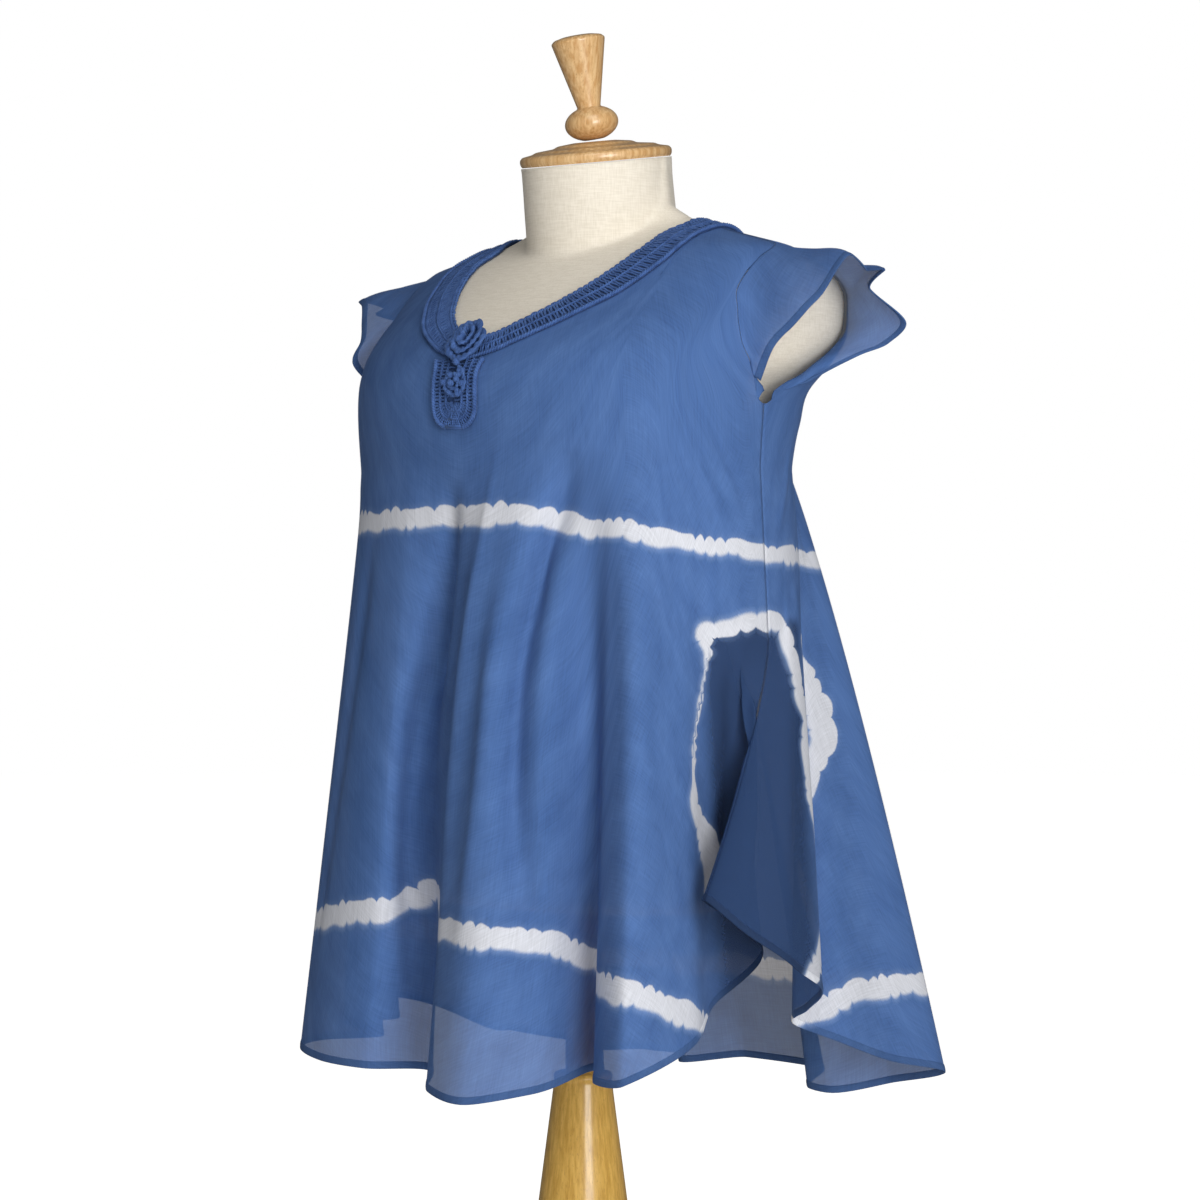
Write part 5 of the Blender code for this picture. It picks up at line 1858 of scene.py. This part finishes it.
def posts(lines, up, radius, spread, holes):
    """Upright stitches side by side along lines. Neighbours lean apart round the holes."""
    s = np.linspace(0, 1, lines.shape[1])
    sideways = np.cross(np.gradient(lines, axis=1), up)
    sideways /= np.maximum(np.linalg.norm(sideways, axis=-1, keepdims=True), 1e-12)
    hand = np.where(np.arange(len(lines)) % 2, 1.0, -1.0)[:, None]
    bend = sum(
        np.exp(-(((s - hole) / 0.09) ** 2)) * (1 if i % 2 else -1) for i, hole in enumerate(holes)
    )
    lines = lines + sideways * (spread * hand * bend[None])[..., None]
    arch = radius * (0.35 * np.sin(math.pi * s) + 0.25 * np.cos(6 * math.pi * s))
    lines = lines + up * arch[None, :, None]
    thick = radius * (1 - 0.22 * np.abs(bend))[None]
    return strands(lines, up, thick, closed=False)


def twisted(line, facings, radius, pitch, closed=True):
    """Two strands laid round each other along a line: the chain that edges crochet."""
    if closed:
        along = np.roll(line, -1, 0) - np.roll(line, 1, 0)
        step = np.linalg.norm(np.roll(line, -1, 0) - line, axis=-1)
    else:
        along = np.gradient(line, axis=0)
        step = np.append(np.linalg.norm(np.diff(line, axis=0), axis=-1), 0)
    first = np.cross(along, facings)
    first /= np.linalg.norm(first, axis=-1, keepdims=True)
    length = np.concatenate([[0], np.cumsum(step)])[:-1]
    turns = max(1, round(step.sum() / pitch)) if closed else step.sum() / pitch
    phase = 2 * math.pi * turns * length / step.sum()
    made = []
    for half in (0, math.pi):
        a, b = np.cos(phase + half)[:, None], np.sin(phase + half)[:, None]
        ply = line + radius * 0.72 * (first * a + facings * b)
        made.append(strands(ply, facings, radius, closed=closed))
    return joined(made)


BAND_CHAINS = (
    # share of the way down the band, height over it, thickness, pitch in mm
    (0.985, 0.0022, 0.95, 5.2),
    (0.50, 0.0021, 0.55, 5.2),
    (0.07, 0.0014, 0.8, 4.2),
)
PICOT_SPACING = 0.0058
PICOT_HALF = 0.0025
PICOT_HEIGHT = 0.0025


class DRESS_OT_neck_band(bpy.types.Operator):
    """Builds the crochet neck band: a ground darkened with painted shade, posts with eyelets, a
    chain edge and picots.
    """

    bl_idname = "dress.neck_band"
    bl_label = "Crochet neck band"

    def execute(self, context):
        crochet = looks(context, "crochet")
        # The ground is the blue behind the stitches, darkened to half as painted shade in the
        # eyelets and the gaps between posts.
        dark = yarn_material("crochet_cotton_ground", crochet, 0.50)
        yarn = yarn_material("crochet_cotton_stitches", crochet, 1.0)
        grid, normals = kept("band", band_shape)
        outer, inner = grid + normals * BAND_OUTSIDE * 0.6, grid - normals * BAND_INSIDE
        ground = add_cloth(
            "neck_band_ground", outer, inner, {}, dark, "crochet_cotton", closed=True
        )
        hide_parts("neck_band")
        around = np.linalg.norm(grid[6] - np.roll(grid[6], 1, 0), axis=-1).sum()
        count = 2 * round(around / crochet.stitch / 2)
        r = crochet.yarn / 2
        u = (np.arange(count) + 0.5) / count
        up_the_band = np.linspace(0.10, 0.93, 11)[None]
        lines, facings = on_band(u[:, None], up_the_band, BAND_OUTSIDE * 0.6 + r * 0.55)
        parts = [posts(lines, facings, r * 0.98, 0.00058, (0.28, 0.74))]
        fine = np.arange(6 * count) / (6 * count)
        for s, out, thick, pitch in BAND_CHAINS:
            line, up = on_band(fine, s, out)
            parts.append(twisted(rested(line, thick * r), up, thick * r, pitch * MM))
        picots = round(around / PICOT_SPACING)
        t = np.linspace(0, 1, 9)
        middle = (np.arange(picots) / picots)[:, None]
        half = PICOT_HALF / around
        uneven = 1 + 0.18 * np.sin(np.arange(picots) * 2.4)[:, None]
        line, up = on_band(middle - half * np.cos(math.pi * t)[None], 0.05, 0.0011)
        inward = on_band(middle, 0.0, 0.0)[0] - on_band(middle, 0.25, 0.0)[0]
        inward /= np.linalg.norm(inward, axis=-1, keepdims=True)
        line = line + inward * (PICOT_HEIGHT * uneven * np.sin(math.pi * t)[None])[..., None]
        parts.append(strands(rested(line, r * 0.9), up, r * 0.9, closed=False))
        points, faces = joined(parts)
        add_piece("neck_band_stitches", points, faces, yarn)
        return {"FINISHED"}


TAB_ROUNDS = (
    # share of the way in from the rim where it starts and ends, one post in how many, thickness
    (0.05, 0.31, 1, 0.95),
    (0.35, 0.60, 1, 0.74),
    (0.64, 0.95, 2, 0.80),
)
TAB_CHAINS = (
    # share of the way in from the rim, thickness
    (0.0, 1.15),
    (0.33, 0.72),
    (0.62, 0.70),
)


class DRESS_OT_tab(bpy.types.Operator):
    """Builds the crochet tab below the neck: a ground darkened with painted shade, rounds of posts
    and a chain edge.
    """

    bl_idname = "dress.tab"
    bl_label = "Crochet tab"

    def execute(self, context):
        crochet = looks(context, "crochet")
        # The tab's ground is the blue behind its stitches, darkened as painted shade in the gaps
        # between posts.
        dark = yarn_material("crochet_cotton_tab_ground", crochet, 0.55)
        yarn = yarn_material("crochet_cotton_tab_stitches", crochet, 1.0)
        across, down = np.meshgrid(np.linspace(-1, 1, 41), np.linspace(0, 1, 45))
        outer = tab_spot(across, down, SEAM_GAP + TAB_WALL * 0.75)
        inner = tab_spot(across, down, SEAM_GAP)
        ground = add_cloth("tab_ground", outer, inner, {}, dark, "crochet_cotton")
        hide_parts("crochet_tab")
        side = 0.60
        curve = side + (1 - side) * np.sin(np.linspace(0, math.pi / 2, 80))
        down = np.concatenate([np.linspace(0, side, 120), curve])
        ones = np.ones(len(down))
        edge = np.concatenate([np.stack([-ones, down], 1), np.stack([ones, down[::-1]], 1)])
        r = crochet.yarn / 2
        rim = tab_spot(edge[:, 0] * 0.97, edge[:, 1] * 0.985, SEAM_GAP + TAB_WALL)
        length = run_length(rim)
        count = 2 * round(length[-1] / crochet.stitch / 2)
        begin = read_along((np.arange(count) + 0.5) / count * length[-1], length, rim)
        top_z = FRONT_TOP[0][2]
        middle = tab_spot(0.0, np.clip((top_z - begin[:, 2]) / TAB_HEIGHT, 0.02, 0.62), 0.0)
        target_x, target_z = middle[:, 0], middle[:, 2]
        parts = []
        for near, far, some, thick in TAB_ROUNDS:
            x, z = begin[::some, 0], begin[::some, 2]
            q = np.linspace(near, far, 11)[None]
            uneven = (0.2 + 0.22 * np.sin(np.arange(len(x)) * 2.4 + 9 * near))[:, None]
            lines = spot(
                x[:, None] + (target_x[::some] - x)[:, None] * q,
                z[:, None] + (target_z[::some] - z)[:, None] * q,
                SEAM_GAP + TAB_WALL + r * uneven,
            )
            parts.append(posts(lines, facing_at(lines), r * thick, 0.00045, (0.5,)))
        for q, thick in TAB_CHAINS:
            x = rim[:, 0] + (TAB_CENTRE - rim[:, 0]) * q
            z = rim[:, 2] + (top_z - TAB_HEIGHT * np.minimum(edge[:, 1], 0.62) - rim[:, 2]) * q
            line = spot(x, z, SEAM_GAP + TAB_WALL + r * 0.5)
            parts.append(twisted(line, facing_at(line), r * thick, 0.0044, closed=False))
        points, faces = joined(parts)
        add_piece("tab_stitches", points, faces, yarn)
        return {"FINISHED"}


# Each crochet rose: its name and node, the height of its middle, its reach across and down, how far
# it stands out, the turns of its ribbon and the petals in each turn.
ROSES = (
    ("rose_upper", "rosette_upper", 0.8700, 0.0182, 0.0162, 0.0098, 2.7, 5),
    ("rose_lower", "rosette_lower", 0.8400, 0.0128, 0.0108, 0.0062, 1.9, 5),
)
ROSE_FOOT = SEAM_GAP * 2 + TAB_WALL + 0.0014
RIBBON_HALF = 0.0006
BOBBLE_YARN = 0.0008
BOBBLES_ROUND = 9
BOBBLES = (
    # x, height, radius of the three in the middle
    (-0.001, 0.8400, 0.0030),
    (0.004, 0.8425, 0.0024),
    (0.001, 0.8535, 0.0030),
)


def rose_ribbon(centre_z, wide, tall, height, turns, petals):
    """A crochet ribbon coiled into a rose: its petals lean out more towards its rim."""
    t = np.linspace(0, 1, 420)[None, :]
    w = np.linspace(0, 1, 12)[:, None]
    phase = 2 * math.pi * turns * t
    reach = 0.12 + 0.62 * t
    scallop = np.abs(np.sin(petals * phase / 2 + 0.6)) ** 0.6
    lean = (0.10 + 0.26 * t) * (0.62 + 0.38 * scallop)
    radial = reach + lean * w**1.7
    tall_here = height * (1 - 0.42 * t) * (0.80 + 0.20 * scallop)
    out = ROSE_FOOT + tall_here * (np.sin(w * 0.62 * math.pi) / math.sin(0.5 * math.pi)) ** 0.9
    stitch = 2 * math.pi * 17 * turns * t
    out = out + 0.00045 * np.sin(stitch) * np.sin(2.5 * math.pi * w)
    ripple = 0.030 * np.sin(stitch + 1.2) * np.sin(math.pi * w)
    x = wide * (radial + ripple) * np.cos(phase + 2.0)
    z = centre_z + tall * (radial + ripple) * np.sin(phase + 2.0)
    return spot(x, z, out)


def wound_ball(x, z, out, size, r):
    """A bobble: yarn wound round and round into a small ball."""
    t = np.linspace(0, 1, 90)
    lift, phase = -math.pi / 2 + math.pi * t, 2 * math.pi * 4.5 * t
    middle = spot(x, z, out)
    facing = facing_at(middle[None])[0]
    first = np.cross(facing, (0, 0, 1))
    first /= np.linalg.norm(first)
    second = np.cross(facing, first)
    reach = size - r
    around = np.cos(phase)[:, None] * first + np.sin(phase)[:, None] * second
    away = np.cos(lift)[:, None] * around + np.sin(lift)[:, None] * facing
    return strands(middle + reach * away, away, r, closed=False)


class DRESS_OT_roses(bpy.types.Operator):
    """Builds the two crochet roses and the bobbles between them."""

    bl_idname = "dress.roses"
    bl_label = "Crochet roses"

    def execute(self, context):
        crochet = looks(context, "crochet")
        yarn = yarn_material("crochet_cotton_roses", crochet, 1.0)
        r = crochet.yarn / 2
        for name, cad, centre_z, wide, tall, height, turns, petals in ROSES:
            grid = rose_ribbon(centre_z, wide, tall, height, turns, petals)
            facing = grid_normals(grid)
            half = facing * RIBBON_HALF
            points = np.concatenate([(grid + half).reshape(-1, 3), (grid - half).reshape(-1, 3)])
            parts = [(points, shell_faces(*grid.shape[:2]).tolist())]
            phase = np.linspace(0, 2 * math.pi, 60, endpoint=False)
            ring = np.linspace(0.02, 1, 8)[:, None]
            edge = 0.80 * (1 - 0.10 * np.cos(petals * phase / 2) ** 2)
            x, z = wide * ring * edge * np.cos(phase), centre_z + tall * ring * edge * np.sin(phase)
            top, foot = spot(x, z, ROSE_FOOT + 0.0016), spot(x, z, ROSE_FOOT)
            disc = np.concatenate([top.reshape(-1, 3), foot.reshape(-1, 3)])
            parts.append((disc, shell_faces(*x.shape, closed=True).tolist()))
            rim = grid[-1]
            parts.append(strands(rim, facing[-1], r * 0.62, closed=False))
            if name == "rose_lower":
                for k in range(BOBBLES_ROUND):
                    turn = 2 * math.pi * k / BOBBLES_ROUND + 0.3 * math.sin(2.1 * k)
                    away = 0.70 + 0.14 * math.sin(3.7 * k)
                    bx, bz = wide * away * math.cos(turn), centre_z + tall * away * math.sin(turn)
                    out = ROSE_FOOT + 0.0036 + 0.0006 * math.sin(5.0 * k)
                    parts.append(wound_ball(bx, bz, out, 0.0029 - 0.0003 * (k % 3), BOBBLE_YARN))
                for bx, bz, size in BOBBLES:
                    parts.append(wound_ball(bx, bz, ROSE_FOOT + 0.0052, size, BOBBLE_YARN))
            points, faces = joined(parts)
            made = add_piece(name, points, faces, yarn)
            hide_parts(cad)
        return {"FINISHED"}


# The cut of what shows: its flat size and area in metres.
PANEL_CUTS = {"front": ((0.93, 0.68), 0.40), "back": ((1.02, 0.70), 0.43)}


class DRESS_OT_panels(bpy.types.Operator):
    """Builds the front and the back of the dress with their hems and side seams."""

    bl_idname = "dress.panels"
    bl_label = "Front and back"
    # Builds the front and the back of the dress with their hems, meeting at the side seams.

    def execute(self, context):
        voile = looks(context, "voile")
        single = voile_material("cotton_voile_single", voile, voile.see_through)
        double = voile_material("cotton_voile_doubled", voile, 0.0, HEM_DEPTH)
        for side, (flat, area) in PANEL_CUTS.items():
            _, points, normals, notes = kept(side, lambda: panel_shape(side))
            inner = points - normals * CLOTH_THICK
            cloth = add_cloth(side + "_voile", points, inner, notes, single)
            hem = edge_strip(points, normals, notes, voile.hem_width)
            foot = add_cloth(side + "_hem", *hem, double)
            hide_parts(side + "_panel")
        return {"FINISHED"}


class DRESS_OT_sleeves(bpy.types.Operator):
    """Builds the two cap sleeves with their hems."""

    bl_idname = "dress.sleeves"
    bl_label = "Cap sleeves"

    def execute(self, context):
        voile = looks(context, "voile")
        single = voile_material("cotton_voile_sleeve", voile, voile.see_through)
        double = voile_material("cotton_voile_sleeve_hem", voile, 0.0, HEM_DEPTH)
        for name, hand, table in (
            ("sleeve_left", 1, LEFT_SLEEVE),
            ("sleeve_right", -1, RIGHT_SLEEVE),
        ):
            points, normals = sleeve_shape(hand, table)
            count = points.shape[0] * points.shape[1]
            notes = {
                "dye_along": np.zeros(count),
                "dye_across": np.full(count, FAR_FROM_DYE),
                "dye_half": np.zeros(count),
                "dye_side": np.ones(count),
                "dye_deep": np.zeros(count),
                "cloth_mm": cloth_mm(points),
            }
            inner = points - normals * CLOTH_THICK
            cloth = add_cloth(name + "_voile", points, inner, notes, single)
            hem = edge_strip(points, normals, notes, voile.hem_width)
            foot = add_cloth(name + "_hem", *hem, double)
            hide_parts(name)
        return {"FINISHED"}


# The photo's view: degrees towards the wearer's left, distance, height, and the shift of the frame
# as a share of its width.
VIEW_AZIMUTH = 42
VIEW_AWAY = 3.0
VIEW_HEIGHT = 0.712
VIEW_SHIFT = (17 / 1200, -50 / 1200)

LAMPS = (
    # name, azimuth, height, distance from the axis, width, length
    ("key", 60, 0.95, 2.6, 1.0, 1.3),
    ("fill", 8, 1.60, 2.8, 1.0, 1.6),
    ("top", 45, 2.40, 1.5, 1.3, 1.3),
)
LAMP_AIM = (0, 0, 0.65)
FLOOR_RADIUS = 9.0
FLOOR_BOUNCE = 0.15


class DRESS_OT_stage(bpy.types.Operator):
    """Builds the plain pale floor, the soft lamps and the camera."""

    bl_idname = "dress.stage"
    bl_label = "Stage"

    def execute(self, context):
        scene = context.scene
        stage = looks(context, "stage")
        matt, tree, shader = new_material(
            "plain_matt_floor", {"Roughness": 0.95, "Specular IOR Level": 0.1}
        )
        shader.inputs["Base Color"].default_value = (*stage.floor, 1)
        shader.inputs["Emission Color"].default_value = (*stage.floor, 1)
        seen = node(tree, "ShaderNodeLightPath").outputs["Is Camera Ray"]
        glow = node(
            tree,
            "ShaderNodeMath",
            {"operation": "MULTIPLY_ADD", 1: 1 - FLOOR_BOUNCE, 2: FLOOR_BOUNCE},
            {0: seen},
        )
        tree.links.new(glow.outputs[0], shader.inputs["Emission Strength"])
        mesh = bpy.data.meshes.new("floor")
        turn = np.linspace(0, 2 * math.pi, 96, endpoint=False)
        rim = FLOOR_RADIUS * np.stack([np.sin(turn), np.cos(turn), np.zeros_like(turn)], -1)
        mesh.from_pydata(rim.tolist(), [], [list(range(95, -1, -1))])
        mesh.materials.append(matt)
        floor = bpy.data.objects.new("floor", mesh)
        scene.collection.objects.link(floor)
        floor.visible_glossy = False
        world = bpy.data.worlds.new("pale_room")
        world.use_nodes = True
        room = world.node_tree
        light = room.nodes["Background"]
        light.inputs["Color"].default_value = (1, 1, 1, 1)
        light.inputs["Strength"].default_value = stage.room
        seen = node(room, "ShaderNodeBackground", {"Color": (1, 1, 1, 1), "Strength": 1.0})
        rays = node(room, "ShaderNodeLightPath")
        both = node(
            room,
            "ShaderNodeMixShader",
            links={0: rays.outputs["Is Camera Ray"], 1: light.outputs[0], 2: seen.outputs[0]},
        )
        room.links.new(both.outputs[0], room.nodes["World Output"].inputs["Surface"])
        scene.world = world
        scene.view_settings.view_transform = "Standard"
        for name, azimuth, height, away, wide, tall in LAMPS:
            lamp = bpy.data.lights.new(name + "_lamp", "AREA")
            lamp.shape, lamp.size, lamp.size_y = "RECTANGLE", wide, tall
            lamp.energy = getattr(stage, name)
            made = bpy.data.objects.new(name + "_lamp", lamp)
            turn = math.radians(azimuth)
            made.location = (away * math.sin(turn), -away * math.cos(turn), height)
            aim = Vector(LAMP_AIM) - made.location
            made.rotation_euler = aim.to_track_quat("-Z", "Y").to_euler()
            made.visible_camera = False
            scene.collection.objects.link(made)
        view = bpy.data.cameras.new("photo_view")
        view.lens, view.sensor_width = stage.lens, 36.0
        view.shift_x, view.shift_y = VIEW_SHIFT
        view.clip_start, view.clip_end = 0.05, 60
        camera = bpy.data.objects.new("photo_view", view)
        turn = math.radians(VIEW_AZIMUTH)
        camera.location = (VIEW_AWAY * math.sin(turn), -VIEW_AWAY * math.cos(turn), VIEW_HEIGHT)
        camera.rotation_euler = (math.pi / 2, 0, turn)
        scene.collection.objects.link(camera)
        scene.camera = camera
        return {"FINISHED"}


PIECES = (
    DRESS_OT_form,
    DRESS_OT_wood,
    DRESS_OT_neck_band,
    DRESS_OT_tab,
    DRESS_OT_roses,
    DRESS_OT_panels,
    DRESS_OT_sleeves,
    DRESS_OT_stage,
)

class DRESS_PT_pieces(bpy.types.Panel):
    """Lists the pieces and what can be changed about them."""

    bl_idname = "DRESS_PT_pieces"
    bl_label = "Dress"
    bl_space_type = "VIEW_3D"
    bl_region_type = "UI"
    bl_category = "Dress"

    def draw(self, context):
        for name, group in LOOKS.items():
            box = self.layout.box()
            box.label(text=name.capitalize())
            for key in group.__annotations__:
                box.prop(looks(context, name), key)
        for piece in PIECES:
            self.layout.operator(piece.bl_idname)


def register():
    """Adds the pieces, the panel and what can be changed to Blender."""
    for made in (*LOOKS.values(), *PIECES, DRESS_PT_pieces):
        bpy.utils.register_class(made)
    for name, group in LOOKS.items():
        setattr(bpy.types.Scene, "dress_" + name, PointerProperty(type=group))


def unregister():
    """Takes them out again."""
    for name in LOOKS:
        delattr(bpy.types.Scene, "dress_" + name)
    for made in reversed((*LOOKS.values(), *PIECES, DRESS_PT_pieces)):
        bpy.utils.unregister_class(made)


def main():
    """Builds every piece in turn."""
    register()
    for piece in PIECES:
        group, name = piece.bl_idname.split(".")
        getattr(getattr(bpy.ops, group), name)()


if __name__ == "__main__":
    main()
